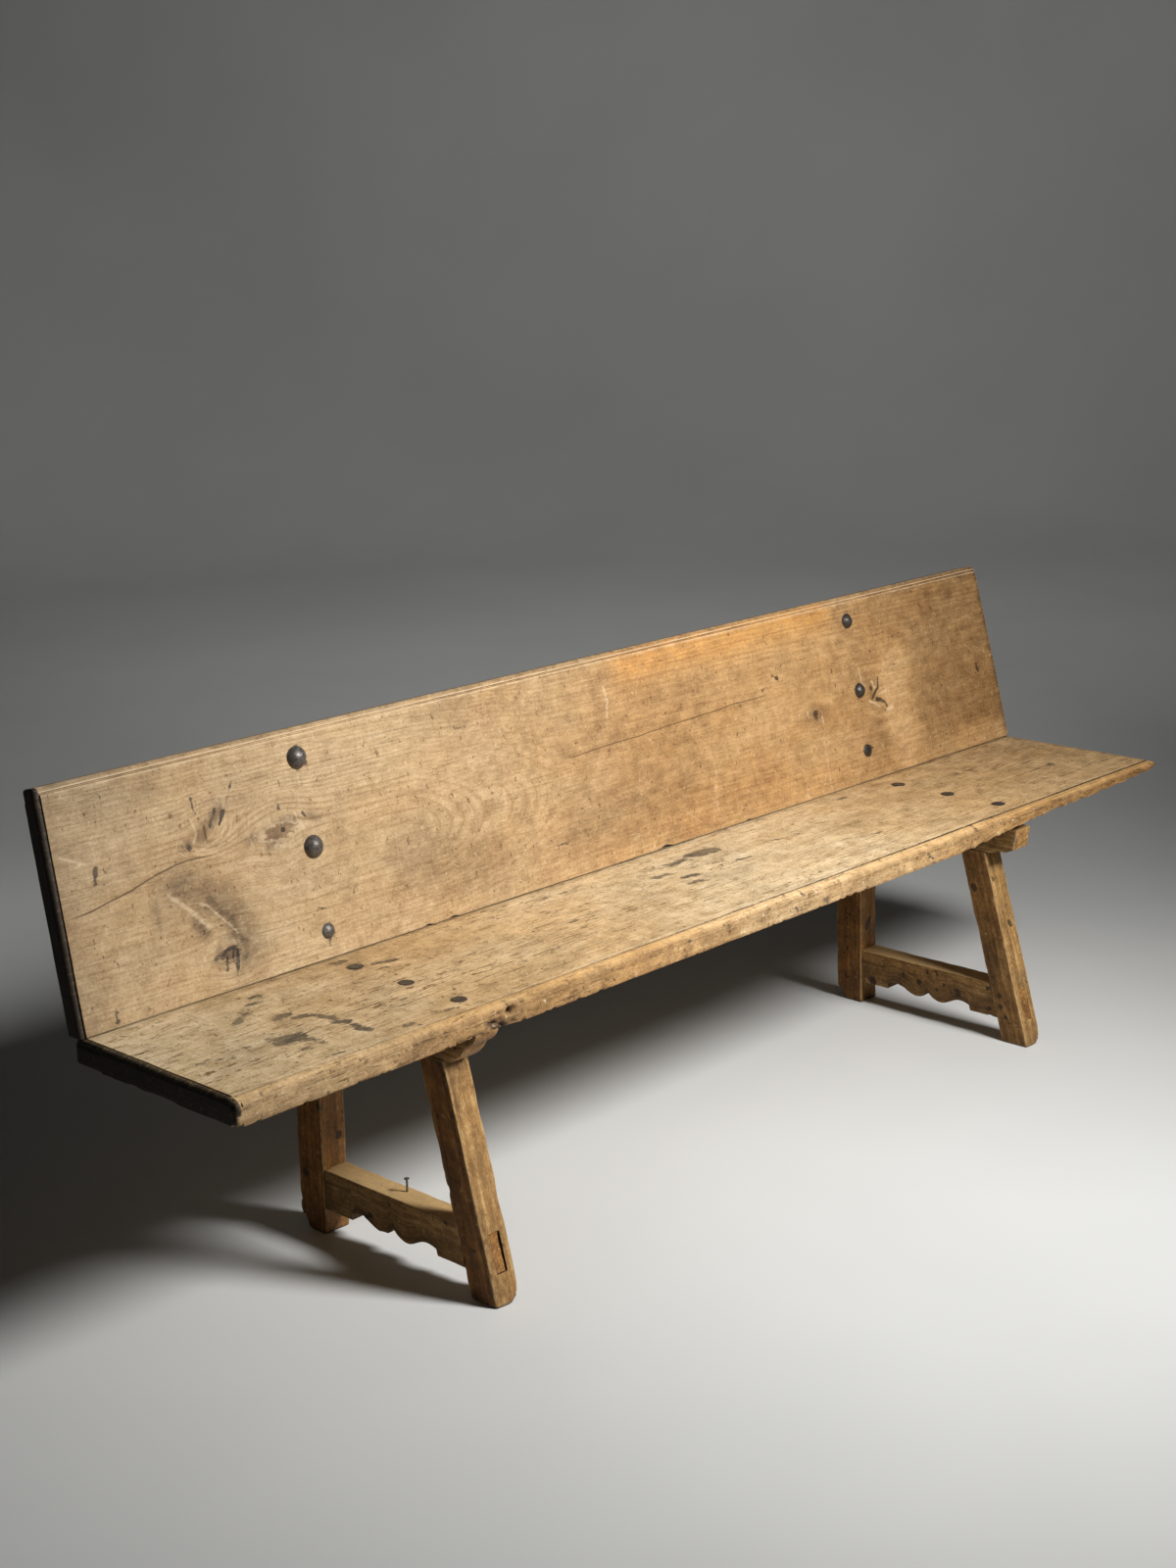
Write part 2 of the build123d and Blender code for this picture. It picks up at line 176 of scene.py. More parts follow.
def rounded(points, low, high, radius):
    """Moves a box's points onto the box with rounded edges."""
    radius = np.broadcast_to(np.asarray(radius, float), len(points))[:, None]
    inner = np.clip(points, np.asarray(low) + radius, np.asarray(high) - radius)
    away = points - inner
    reach = np.maximum(np.linalg.norm(away, axis=1, keepdims=True), 1e-9)
    outside = np.abs(away).max(1, keepdims=True) > 0.999 * radius
    return np.where(outside, inner + away * (radius / reach), points)


def edge_gap(points, low, high):
    """Distance over a box's faces from each point to the nearest edge."""
    gaps = np.minimum(points - np.asarray(low), np.asarray(high) - points)
    return np.sort(np.abs(gaps), axis=1)[:, 1]


def sink(points, nominal, low, high, depth, axes):
    """Moves a box's faces inward by a depth that varies, on the faces across the given axes."""
    for axis in axes:
        inward = 1.0 * (nominal[:, axis] == low[axis]) - (nominal[:, axis] == high[axis])
        points[:, axis] += depth * inward


def near_line(points, start, end, radius):
    """1 on the line between two places, falling smoothly to 0 beyond about the given radius."""
    start, end = np.asarray(start, float), np.asarray(end, float)
    along = end - start
    t = np.clip((points - start) @ along / max(along @ along, 1e-9), 0, 1)
    gap = np.linalg.norm(points - start - t[:, None] * along, axis=1)
    return hill(gap, 0, radius)


def near_path(points, places, radius):
    """The same along a path through several places."""
    return largest(*(near_line(points, a, b, radius) for a, b in zip(places, places[1:])))


def lathe(profile, count):
    """A turned form: points and faces, from (radius, height) pairs between its two ends on the axis."""
    angle = np.linspace(0, 2 * math.pi, count, endpoint=False)
    circle = np.stack([np.cos(angle), np.sin(angle), np.zeros(count)], 1)
    rings = [radius * circle + (0, 0, height) for radius, height in profile[1:-1]]
    points = np.concatenate([*rings, [(0, 0, profile[0][1])], [(0, 0, profile[-1][1])]])
    first, last = len(points) - 2, len(points) - 1
    following = (np.arange(count) + 1) % count
    faces = [[first, b, a] for a, b in enumerate(following)]
    for level in range(len(rings) - 1):
        base = level * count
        faces += [[base + a, base + b, base + count + b, base + count + a] for a, b in enumerate(following)]
    base = (len(rings) - 1) * count
    faces += [[last, base + a, base + b] for a, b in enumerate(following)]
    return points, faces


def joined(parts):
    """Several (points, faces) as one."""
    points, faces, base = [], [], 0
    for part_points, part_faces in parts:
        points.append(part_points)
        faces += [[base + corner for corner in face] for face in part_faces]
        base += len(part_points)
    return np.concatenate(points), faces


def make_piece(name, points, faces, slot, replaced, fields):
    """A mesh piece in the bench's frame that stands for a CAD node and carries fields for its material."""
    mesh = bpy.data.meshes.new(name)
    mesh.from_pydata((points * MM).tolist(), [], faces)
    for key, values in fields.items():
        kind, part = ("FLOAT_VECTOR", "vector") if values.ndim == 2 else ("FLOAT", "value")
        attribute = mesh.attributes.new(key, kind, "POINT")
        attribute.data.foreach_set(part, values.astype(np.float32).ravel())
    mesh.polygons.foreach_set("use_smooth", np.ones(len(mesh.polygons), bool))
    mesh.set_sharp_from_angle(angle=math.radians(sharp_angle))
    mesh.materials.append(materials[slot])
    mesh.update()
    piece = bpy.data.objects.new(name, mesh)
    bpy.context.scene.collection.objects.link(piece)
    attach(piece, "root")
    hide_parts(replaced)


# Materials: node shaders
class Shader:
    """A material with short ways to add nodes."""

    def __init__(self, name):
        self.material = bpy.data.materials.new(name)
        self.material.use_nodes = True
        self.tree = self.material.node_tree
        self.tree.nodes.clear()
        self.surface = self.node("BsdfPrincipled")
        out = self.node("OutputMaterial")
        self.tree.links.new(self.surface.outputs[0], out.inputs["Surface"])

    def node(self, kind, inputs=(), **settings):
        made = self.tree.nodes.new("ShaderNode" + kind)
        for key, value in settings.items():
            setattr(made, key, value)
        for key, value in dict(inputs).items():
            self.put(made.inputs[key], value)
        return made

    def put(self, socket, value):
        if isinstance(value, bpy.types.NodeSocket):
            self.tree.links.new(value, socket)
        else:
            socket.default_value = value

    def field(self, name):
        return self.node("Attribute", attribute_name=name).outputs["Fac"]

    def math(self, operation, *values):
        return self.node("Math", enumerate(values), operation=operation).outputs[0]

    def noise(self, vector, scale, detail=3.0, rough=0.6):
        scaled = self.node("VectorMath", {0: vector, 1: scale}, operation="MULTIPLY").outputs["Vector"]
        inputs = {"Vector": scaled, "Scale": 1.0, "Detail": detail, "Roughness": rough}
        return self.node("TexNoise", inputs).outputs["Fac"]

    def step(self, value, low, high, start=0.0, end=1.0):
        inputs = {"Value": value, "From Min": low, "From Max": high, "To Min": start, "To Max": end}
        return self.node("MapRange", inputs, interpolation_type="SMOOTHSTEP").outputs["Result"]

    def mix(self, factor, first, second, blend="MIX"):
        made = self.node("Mix", data_type="RGBA", blend_type=blend)
        self.put(made.inputs[0], factor)
        self.put(made.inputs[6], first)
        self.put(made.inputs[7], second)
        return made.outputs[2]

    def ramp(self, value, *stops):
        made = self.node("ValToRGB", {"Fac": value})
        elements = made.color_ramp.elements
        while len(elements) < len(stops):
            elements.new(0.5)
        for element, (place, colour) in zip(elements, stops):
            element.position = place
            element.color = (*colour, 1)
        return made.outputs["Color"]

    def sum(self, *weighted):
        """Adds up (value - 0.5) * weight, round 0.5."""
        total = 0.5
        for value, weight in weighted:
            total = self.swing(value, weight, total)
        return total

    def swing(self, value, weight, start):
        """Adds (value - 0.5) * weight to a start."""
        return self.math("MULTIPLY_ADD", self.math("SUBTRACT", value, 0.5), weight, start)

    def times(self, first, *others):
        """The product of several values."""
        for value in others:
            first = self.math("MULTIPLY", first, value)
        return first

    def most(self, first, *others):
        """The largest of several values."""
        for value in others:
            first = self.math("MAXIMUM", first, value)
        return first

    def dress(self, colour, height, strength, depth, roughness):
        """Joins a colour, a relief of a depth in metres and a roughness to the surface."""
        bump = self.node("Bump", {"Height": height, "Strength": strength, "Distance": depth})
        self.put(self.surface.inputs["Normal"], bump.outputs["Normal"])
        self.put(self.surface.inputs["Base Color"], colour)
        self.put(self.surface.inputs["Roughness"], roughness)


# Wood, from many layers of noise, the growth rings and the fields that each piece carries
# Each noise has its cycles a metre along, across and into the grain, its detail and its roughness
wood_noises = {
    "fibre": ((18, 230, 230), 4, 0.65),
    "streak": ((3, 70, 70), 3, 0.6),
    "mottle": ((28, 36, 36), 6, 0.72),
    "patch": ((3, 7, 7), 3, 0.6),
    "drift": ((5, 9, 9), 3, 0.6),
    "scuff": ((130, 22, 22), 4, 0.65),
    "ragged": ((70, 140, 140), 4, 0.7),
    "grit": ((190, 260, 260), 3, 0.7),
    "blot": ((38, 60, 60), 4, 0.6),
    "waver": ((7, 16, 16), 2, 0.6),
    "wander": ((7, 3, 3), 3, 0.6),
    "dash": ((34, 150, 150), 4, 0.65),
    "nick": ((95, 60, 60), 4, 0.7),
    "seam": ((2.6, 60, 60), 2, 0.4),
}
tone_layers = ("fibre", "streak", "mottle", "patch", "scuff", "rings", "grit")
tone_places = (0.22, 0.42, 0.58, 0.78)
relief_shares = {"fibre": 0.3, "rings": 0.1, "mottle": 0.7, "scuff": 0.3, "grit": 0.2}
scratch_noise = ((14, 300, 300), 2)
scratch_angles = (0.6, -1.1)

# One turn of the wave that draws the growth rings is 7 mm of wood
ring_turn = 2 * math.pi / 7

# What the marks in the wood are mixed with
line_tint = (0.64, 0.52, 0.39, 1)
drift_tint = (1.0, 0.9, 0.76, 1)
fleck_tint = (0.34, 0.25, 0.16, 1)
crack_colour = (0.1, 0.058, 0.03, 1)
# The dark colour below is used for ingrained dirt and for painted shade
dirt_and_shade_colour = (0.025, 0.016, 0.009, 1)
knot_dim = (0.5, 0.4, 0.3, 1)
knot_brown = (0.5, 0.42, 0.36, 1)
knot_heart = (0.035, 0.025, 0.016, 1)

# Fields that tint the wood: the noise that breaks each one up, its steps and the tint. On some pieces warm
# and shade also hold painted shade
tint_fields = {
    "warm": ("mottle", (0.2, 0.7, 0.7, 1.0), (1.0, 0.72, 0.38, 1)),
    "shade": ("mottle", (0.2, 0.75, 1.0, 0.65), (0.24, 0.18, 0.12, 1)),
    "smoke": ("ragged", (0.25, 0.7, 1.0, 0.55), (0.16, 0.13, 0.1, 1)),
}


class Wood(Shader):
    """Old wood. tones runs from darkest to palest, and weights says how strong each layer is."""

    def __init__(self, name, tones, gloss, weights, cracks=(), knots=()):
        super().__init__(name)
        self.weights = weights
        self.pale = (*tones[-1], 1)
        self.grain = self.node("Attribute", attribute_name="grain").outputs["Vector"]
        self.layers = {key: self.noise(self.grain, *kind) for key, kind in wood_noises.items()}
        self.layers["rings"] = self.ring_noise(0.17, 2.0)
        colour = self.sum(*((self.layers[key], weights[key]) for key in tone_layers))
        colour = self.ramp(colour, *zip(tone_places, tones))
        colour = self.growth(colour)
        colour = self.tinted(colour)
        colour = self.flecked(colour, cracks)
        colour = self.scratched(colour)
        colour = self.stained(colour)
        for knot in knots:
            colour = self.knotted(colour, *knot)
        self.finish(self.rubbed(colour), gloss)

    def ring_noise(self, scale, detail):
        """A noise along the count of millimetres through the growth rings."""
        inputs = {"W": self.field("ring"), "Scale": scale, "Detail": detail}
        return self.node("TexNoise", inputs, noise_dimensions="1D").outputs["Fac"]

    def growth(self, colour):
        """Growth rings, as dark and pale lines, where the figure shows."""
        shown = self.math("MULTIPLY_ADD", self.field("figure"), 2.0, 1.0)
        broken = self.step(self.layers["mottle"], 0.32, 0.6, 0.2, 1.0)
        shown = self.times(shown, self.weights["lines"], broken)
        wave = self.times(self.ring_noise(0.03, 1.0), 10.0)
        wave = self.math("MULTIPLY_ADD", self.field("ring"), ring_turn, wave)
        ridge = self.math("SINE", self.math("MULTIPLY_ADD", self.layers["waver"], 5.0, wave))
        self.line = self.times(self.step(ridge, 0.5, 1.0), shown)
        colour = self.mix(self.line, colour, line_tint, "MULTIPLY")
        crest = self.times(self.step(ridge, -0.5, -1.0, 0.0, 0.4), shown)
        return self.mix(crest, colour, self.pale)

    def tinted(self, colour):
        """Large patches of warmer and darker wood, and painted shade where a piece's fields hold it."""
        drift = self.step(self.layers["drift"], 0.35, 0.65, 0.0, 0.5)
        colour = self.mix(drift, colour, drift_tint, "MULTIPLY")
        for field, (layer, steps, tint) in tint_fields.items():
            share = self.times(self.field(field), self.step(self.layers[layer], *steps))
            colour = self.mix(share, colour, tint, "MULTIPLY")
        return colour

    def crack(self, start, end, width):
        """1 on a thin wandering line along the grain between two (along, across) places, in metres."""
        reach, fade = 0.012, 0.04
        along, across, _ = self.node("SeparateXYZ", {0: self.grain}).outputs
        line = self.step(along, start[0], end[0], start[1], end[1])
        line = self.swing(self.layers["wander"], reach, line)
        gap = self.math("ABSOLUTE", self.math("SUBTRACT", across, line))
        opening = self.step(along, start[0], start[0] + fade)
        closing = self.step(along, end[0], end[0] - fade)
        return self.times(self.step(gap, width, width * 0.3), opening, closing)

    def flecked(self, colour, cracks):
        """Short dark dashes along the grain, ticks across it, fine checks and the given cracks."""
        patch, nick, weights = self.layers["patch"], self.layers["nick"], self.weights
        busy = self.step(patch, 0.35, 0.6, 0.25, 1.0)
        busy = self.times(busy, self.math("MULTIPLY_ADD", self.field("figure"), 0.6, 0.4))
        dash = self.times(self.step(self.layers["dash"], 0.575, 0.645), busy, weights["dashes"])
        self.fleck = self.most(dash, self.step(nick, 0.61, 0.68, 0.0, weights["ticks"]))
        colour = self.mix(self.fleck, colour, fleck_tint, "MULTIPLY")
        seam = self.math("ABSOLUTE", self.math("SUBTRACT", self.layers["seam"], 0.5))
        checked = self.step(patch, 0.5, 0.6, 0.0, weights["checks"])
        check = self.times(self.step(seam, 0.012, 0.003), checked)
        self.check = self.most(check, *(self.crack(*crack) for crack in cracks))
        return self.mix(self.times(self.check, 0.75), colour, crack_colour)

    def scratches(self, angle):
        """1 on short straight scratches at an angle to the grain."""
        turned = self.node("VectorRotate", {"Vector": self.grain, "Angle": angle}, rotation_type="Z_AXIS")
        return self.step(self.noise(turned.outputs["Vector"], *scratch_noise), 0.68, 0.74)

    def scratched(self, colour):
        """Pale nicks, and thin pale scratches across the grain, two ways."""
        scratch = self.most(*(self.scratches(angle) for angle in scratch_angles))
        drift = self.step(self.layers["drift"], 0.42, 0.6, 0.0, self.weights["scratches"])
        nick = self.step(self.layers["nick"], 0.37, 0.3, 0.0, self.weights["nicks"])
        return self.mix(self.most(self.times(scratch, drift), nick), colour, self.pale)

    def stained(self, colour):
        """Stains with ragged edges."""
        mark = self.field("stain")
        edge = self.swing(self.layers["blot"], 1.6, mark)
        edge = self.swing(self.layers["ragged"], 1.0, edge)
        cover = self.step(self.layers["mottle"], 0.3, 0.7, self.weights["cover"], 0.95)
        stain = self.times(self.step(edge, 0.36, 0.64), self.step(mark, 0.06, 0.3), cover)
        return self.mix(stain, colour, (*self.weights["stain"], 1))

    def knot(self, middle, size):
        """A ragged distance from a knot's middle, in its half sizes, and rays that run out from there."""
        place = self.node("Attribute", attribute_name="face").outputs["Vector"]
        local = self.node("VectorMath", {0: place, 1: middle}, operation="SUBTRACT").outputs["Vector"]
        local = self.node("VectorMath", {0: local, 1: size}, operation="DIVIDE").outputs["Vector"]
        away = self.node("VectorMath", {0: local}, operation="LENGTH").outputs["Value"]
        way = self.node("VectorMath", {0: local}, operation="NORMALIZE").outputs["Vector"]
        out = self.node("CombineXYZ", {"Z": away}).outputs["Vector"]
        fan = self.node("VectorMath", {0: way, 1: (2.6, 2.6, 2.6), 2: out}, operation="MULTIPLY_ADD")
        rays = self.noise(fan.outputs["Vector"], (1, 1, 1), 4, 0.6)
        return self.swing(self.noise(place, (75, 130, 1), 5, 0.75), 3.6, away), rays

    def knotted(self, colour, middle, size, dark, spokes):
        """A brown knot with a faint pale ring and a dim surround, and a split heart if it has spokes."""
        away, rays = self.knot(middle, size)
        plain = 1 - spokes
        colour = self.mix(self.step(away, 3.0, 1.0, 0.0, 0.5 * dark), colour, knot_dim, "MULTIPLY")
        ring = self.times(self.step(away, 1.1, 1.4), self.step(away, 2.1, 1.5, 0.0, 0.3 * plain))
        colour = self.mix(ring, colour, self.pale)
        colour = self.mix(self.step(away, 1.5, 0.6, 0.0, 0.9), colour, knot_brown, "MULTIPLY")
        rim = self.times(self.step(away, 0.8, 1.0), self.step(away, 1.3, 1.05, 0.0, 0.5 * plain))
        split = self.times(self.step(rays, 0.52, 0.6), self.step(away, 1.9, 0.8, 0.0, spokes))
        heart = self.most(self.step(away, 0.9, 0.5, 0.0, spokes), split, rim)
        return self.mix(self.times(heart, dark), colour, knot_heart)

    def rubbed(self, colour):
        """Rubbed edges and painted highlights, and ingrained dirt and painted shade."""
        ragged = self.layers["ragged"]
        # The wear field holds rubbed edges and painted highlights
        wear_and_highlight = self.step(self.swing(ragged, 1.0, self.field("wear_and_highlight")), 0.35, 0.95, 0.0, 0.65)
        colour = self.mix(wear_and_highlight, colour, self.pale)
        # The grime field holds dirt and painted shade
        grime_and_shade = self.times(self.field("grime_and_shade"), self.step(ragged, 0.25, 0.6, 0.65, 1.0))
        return self.mix(self.step(grime_and_shade, 0.1, 0.9), colour, dirt_and_shade_colour)

    def finish(self, colour, gloss):
        """A relief of fibres, with sunken lines, flecks and checks, and an uneven sheen."""
        height = self.sum(*((self.layers[key], share) for key, share in relief_shares.items()))
        for sunk, depth in ((self.line, 0.2), (self.fleck, 0.4), (self.check, 0.8)):
            height = self.math("MULTIPLY_ADD", sunk, -depth, height)
        sheen = self.sum((self.layers["fibre"], 0.5), (self.layers["mottle"], 0.8))
        sheen = self.step(sheen, 0.1, 0.9, gloss, gloss + 0.25)
        self.dress(colour, height, 0.8, self.weights["relief"], sheen)
        self.put(self.surface.inputs["Specular IOR Level"], 0.3)


def iron(name):
    """Hand forged iron, dark with a little rust, and darker still where a piece says so: darker iron and
    painted shade on the right trestle's back nails, and darker seat nail heads.
    """
    s = Shader(name)
    place = s.node("TexCoord").outputs["Object"]
    lump = s.noise(place, (220, 220, 220), 4, 0.6)
    rust = s.noise(place, (90, 90, 90), 5, 0.7)
    colour = s.ramp(lump, (0.3, (0.05, 0.044, 0.038)), (0.7, (0.16, 0.142, 0.124)))
    colour = s.mix(s.step(rust, 0.5, 0.75, 0.0, 0.6), colour, (0.11, 0.06, 0.032, 1))
    # The shade field darkens the iron: darker iron, and painted shade on the right back nails
    colour = s.mix(s.field("shade"), colour, (0.03, 0.02, 0.014, 1))
    s.dress(colour, lump, 0.6, 0.0008, s.step(rust, 0.3, 0.8, 0.34, 0.6))
    s.put(s.surface.inputs["Metallic"], 0.45)
    return s.material


# The back's grain coordinates start elsewhere, so that the two planks differ
back_shift = 7.0

# Knots in the back: along, up, half sizes of the heart, how far the grain bends, darkness and spokes
back_knots = (
    (-846, 250, 9, 14, 42, 0.0, 0.0),
    (-868, 232, 14, 13, 30, 0.0, 0.0),
    (-733, 210, 25, 9, 62, 0.5, 0.0),
    (-864, 54, 14, 11, 46, 0.55, 0.6),
    (545, 153, 7, 8, 26, 0.9, 0.6),
    (735, 160, 14, 14, 34, 0.0, 0.0),
)

plank_layers = {
    "fibre": 0.42,
    "streak": 0.07,
    "mottle": 0.76,
    "patch": 0.4,
    "scuff": 0.18,
    "rings": 0.13,
    "grit": 0.5,
    "lines": 0.22,
    "dashes": 0.35,
    "ticks": 0.8,
    "nicks": 0.5,
    "checks": 0.25,
    "scratches": 0.55,
    "cover": 0.75,
    "stain": (0.03, 0.019, 0.01),
    "relief": 0.0018,
}
seat_changes = {
    "streak": 0.14,
    "rings": 0.08,
    "lines": 0.05,
    "mottle": 0.8,
    "dashes": 1.0,
    "checks": 0.5,
    "cover": 0.55,
    "stain": (0.066, 0.052, 0.035),
    "relief": 0.003,
}
frame_changes = {"fibre": 0.6, "streak": 0.35, "rings": 0.25, "dashes": 0.8, "checks": 0.9}
seat_tones = ((0.33, 0.235, 0.125), (0.6, 0.455, 0.265), (0.78, 0.625, 0.4), (0.92, 0.79, 0.57))
back_tones = ((0.24, 0.142, 0.063), (0.39, 0.262, 0.132), (0.51, 0.365, 0.2), (0.66, 0.51, 0.325))
frame_tones = ((0.1, 0.048, 0.012), (0.22, 0.118, 0.036), (0.34, 0.195, 0.066), (0.56, 0.385, 0.18))
peg_tones = ((0.05, 0.03, 0.015), (0.1, 0.06, 0.03), (0.16, 0.1, 0.05), (0.25, 0.16, 0.08))

# Long cracks: start and end along and across the grain, and width, in metres
back_cracks = (
    ((back_shift - 1.13, 0.169), (back_shift - 0.85, 0.212), 0.0017),
    ((back_shift - 0.13, 0.201), (back_shift + 0.43, 0.214), 0.0011),
)
grain_step = 0.37
left_seed, right_seed = 100, 200
left_leg_grain = grain_step * left_seed
leg_cracks = (((left_leg_grain + 0.004, 0.003), (left_leg_grain + 0.05, -0.001), 0.0016),)


def drawn_knots():
    """The knots that have a dark heart, in metres."""
    knots = []
    for x, z, half_along, half_up, _, dark, spokes in back_knots:
        if dark:
            knots.append(((x * MM, z * MM, 0), (half_along * MM, half_up * MM, 1), dark, spokes))
    return knots


frame_layers = plank_layers | frame_changes
materials = {
    "seat_wood": Wood("seat_wood", seat_tones, 0.55, plank_layers | seat_changes).material,
    "back_wood": Wood("back_wood", back_tones, 0.46, plank_layers, back_cracks, drawn_knots()).material,
    "frame_wood": Wood("frame_wood", frame_tones, 0.55, frame_layers, leg_cracks).material,
    "peg_wood": Wood("peg_wood", peg_tones, 0.6, frame_layers).material,
    "forged_iron": iron("forged_iron"),
}


# Mouldings of the two planks
def thumbnail(gap, width, drop):
    """How far a moulding's round falls, at a distance from its edge."""
    radius = (width**2 + drop**2) / (2 * drop)
    inward = np.clip(width - gap, 0, width)
    return radius - np.sqrt(radius**2 - inward**2)


def quirk(gap, outer, inner):
    """1 in the groove beside a moulding, at a distance from its edge, with walls that lean a little."""
    return smooth(gap, outer - 0.3, outer + 0.5) * smooth(gap, inner + 0.4, inner - 0.6)


def quirk_stations(outer, inner):
    """Places across the groove, from the moulding's edge."""
    middle = (outer + inner) / 2
    return [outer - 0.3, outer + 0.1, outer + 0.5, middle, inner - 0.6, inner - 0.1, inner + 0.4]


def end_stations(width, radius):
    """Places across a narrow moulding and its groove, from its edge."""
    return np.array([*quirk_stations(width - quirk_width, width), *(radius * np.linspace(0.2, 1, 5))])


def grooves(first_gap, first_width, second_gap, second_width):
    """1 in the grooves along two edges, which meet at the corner."""
    first_round, second_round = first_width - quirk_width, second_width - quirk_width
    first = quirk(first_gap, first_round, first_width) * (second_gap > second_round)
    second = quirk(second_gap, second_round, second_width) * (first_gap > first_round)
    return largest(first, second)


def nail_marks(flat, places, below, above, radius):
    """Soft spots about nails, that reach a little below and above them."""
    return largest(*(near_line(flat, (x, y - below), (x, y + above), radius) for x, y in places))


def strongest(marks, flat):
    """The strongest of several soft lines at each place, from their paths, widths and strengths."""
    return largest(*(strength * near_path(flat, places, width) for places, width, strength in marks))


# Seat plank
# Dark marks on the seat: each one's path, along and back from the front edge, its width and strength
seat_marks = (
    (((-858, 305), (-961, 232)), 16, 0.55),
    (((-903, 209), (-887, 205)), 15, 0.8),
    (((-884, 187), (-864, 177), (-853, 157), (-850, 119), (-851, 73)), 11, 0.8),
    (((-957, 131), (-934, 127)), 24, 0.9),
    (((-925, 124), (-922, 80)), 13, 0.55),
    (((-958, 82), (-950, 78)), 9, 0.65),
    (((-862, 127), (-858, 127)), 7, 0.6),
    (((-803, 44), (-795, 42)), 10, 0.72),
    (((-788, 29), (-784, 27)), 8, 0.62),
    (((-697, 326), (-679, 322)), 11, 0.72),
    (((-695, 288), (-684, 286)), 11, 0.88),
    (((-659, 281), (-622, 268)), 8, 0.72),
    (((-672, 255), (-652, 253)), 7, 0.55),
    (((-740, 127), (-732, 127)), 6, 0.6),
    (((-757, 108), (-747, 107)), 6, 0.6),
    (((-659, 99), (-636, 94)), 5, 0.6),
    (((-698, 52), (-684, 50)), 6, 0.6),
    (((-735, 43), (-708, 41)), 6, 0.58),
    (((-1020, 153), (-1006, 149)), 14, 0.5),
    (((-950, 41), (-930, 37)), 13, 0.42),
    (((76, 284), (128, 278)), 17, 0.95),
    (((10, 276), (58, 272)), 13, 0.75),
    (((-62, 245), (-30, 240)), 10, 0.7),
    (((-30, 208), (0, 203)), 9, 0.8),
    (((-48, 178), (-8, 172)), 9, 0.75),
    (((110, 205), (150, 200)), 8, 0.6),
    (((-320, 189), (-276, 185)), 9, 0.5),
    (((-268, 311), (-218, 307)), 9, 0.55),
    (((-384, 289), (-350, 287)), 8, 0.52),
    (((518, 316), (548, 310)), 8, 0.66),
    (((240, 233), (310, 227)), 12, 0.45),
    (((30, 235), (90, 228)), 14, 0.45),
    (((-560, 120), (-500, 112)), 14, 0.4),
    (((350, 121), (400, 117)), 9, 0.45),
    (((815, 251), (870, 244)), 12, 0.45),
    (((950, 151), (1010, 146)), 14, 0.45),
    (((-1040, 250), (-1000, 240)), 14, 0.42),
    (((-1085, 150), (-1040, 140)), 14, 0.42),
)

# Breaks in the seat's front edge: along, height, half sizes and depth
edge_breaks = (
    (-640, 439, 7, 7, 13),
    (-663, 441, 6, 4, 5),
    (-672, 425, 16, 8, 9),
    (-655, 417, 24, 8, 10),
    (-715, 415, 40, 4, 5),
    (-618, 447, 4, 4, 4),
)


def seat_grid():
    """Points and faces of the seat, closer together at its mouldings and round the broken spot."""
    ends = end_stations(end_moulding, end_radius)
    damage = np.arange(-760, -590, 2.0)
    extra = np.concatenate([ends - half_length, half_length - ends, damage])
    xs = stations(-half_length, half_length, 4.0, 3.0, extra)
    quirks = quirk_stations(moulding_width - quirk_width, moulding_width)
    fronts = np.array([4.5, 7, 10, 13, 16, 18.5, *quirks, 25, 28, 32])
    ys = stations(seat_front, post_front, 4.0, 3.0, seat_front + fronts)
    zs = stations(underside, seat_top, 3.0, 2.0)
    return surface(xs, ys, zs)


def seat_edges(nominal, front_gap, end_gap):
    """The seat's points with worn edges, and chips along the lower front arris."""
    low_edge = nominal[:, 2] < underside + 14
    chip = np.clip(ripple(nominal, (9, 30, 30), 3) - 0.5, 0, 1) * 6 * low_edge
    radius = 1.8 + 0.8 * ripple(nominal, (60, 40, 40), 4) + chip
    radius = np.where(front_gap > 300, 6.0, np.clip(radius, 0.8, 6))
    radius = np.where((end_gap < 12) & (front_gap < 12), 8.0, radius)
    return rounded(nominal, seat_low, seat_high, radius)


def seat_levels(nominal, front_gap, end_gap, cut):
    """The heights of the moulded top, and of the underside, whose front edge is worn thin at the right."""
    front = thumbnail(front_gap, moulding_width - quirk_width, moulding_drop)
    ends = thumbnail(end_gap, end_radius, end_radius * 0.999)
    wobble = dips(nominal, (150, 45, 100), 5)
    top = seat_top - largest(front, ends) - cut - 0.8 * wobble
    thin = np.interp(nominal[:, 0], (480, 650, 720, 900, 1060, 1140), (0, 10, 14, 18, 23, 29))
    thin = thin + 2.0 * ripple(nominal, (22, 60, 60), 6) * (thin > 0)
    bottom = underside + np.clip(thin, 0, 30) * np.clip(1 - front_gap / (20 + 1.5 * thin), 0, 1)
    return top, bottom


def seat_breaks(nominal):
    """How deep the front edge is dented and broken at each place, and 1 where it is broken."""
    x, _, z = nominal.T
    depth = 0.9 * np.clip(ripple(nominal, (30, 60, 14), 8), 0, 1.5)
    rough = 1 + 0.35 * ripple(nominal, (5, 50, 5), 10)
    broken = np.zeros(len(x))
    for place, height, half_along, half_up, deep in edge_breaks:
        hit = hill(x, place, half_along) * hill(z, height, half_up)
        depth = largest(depth, deep * hit * rough)
        broken = largest(broken, hit * min(1.0, deep / 12))
    return np.clip(depth, 0, 18), broken


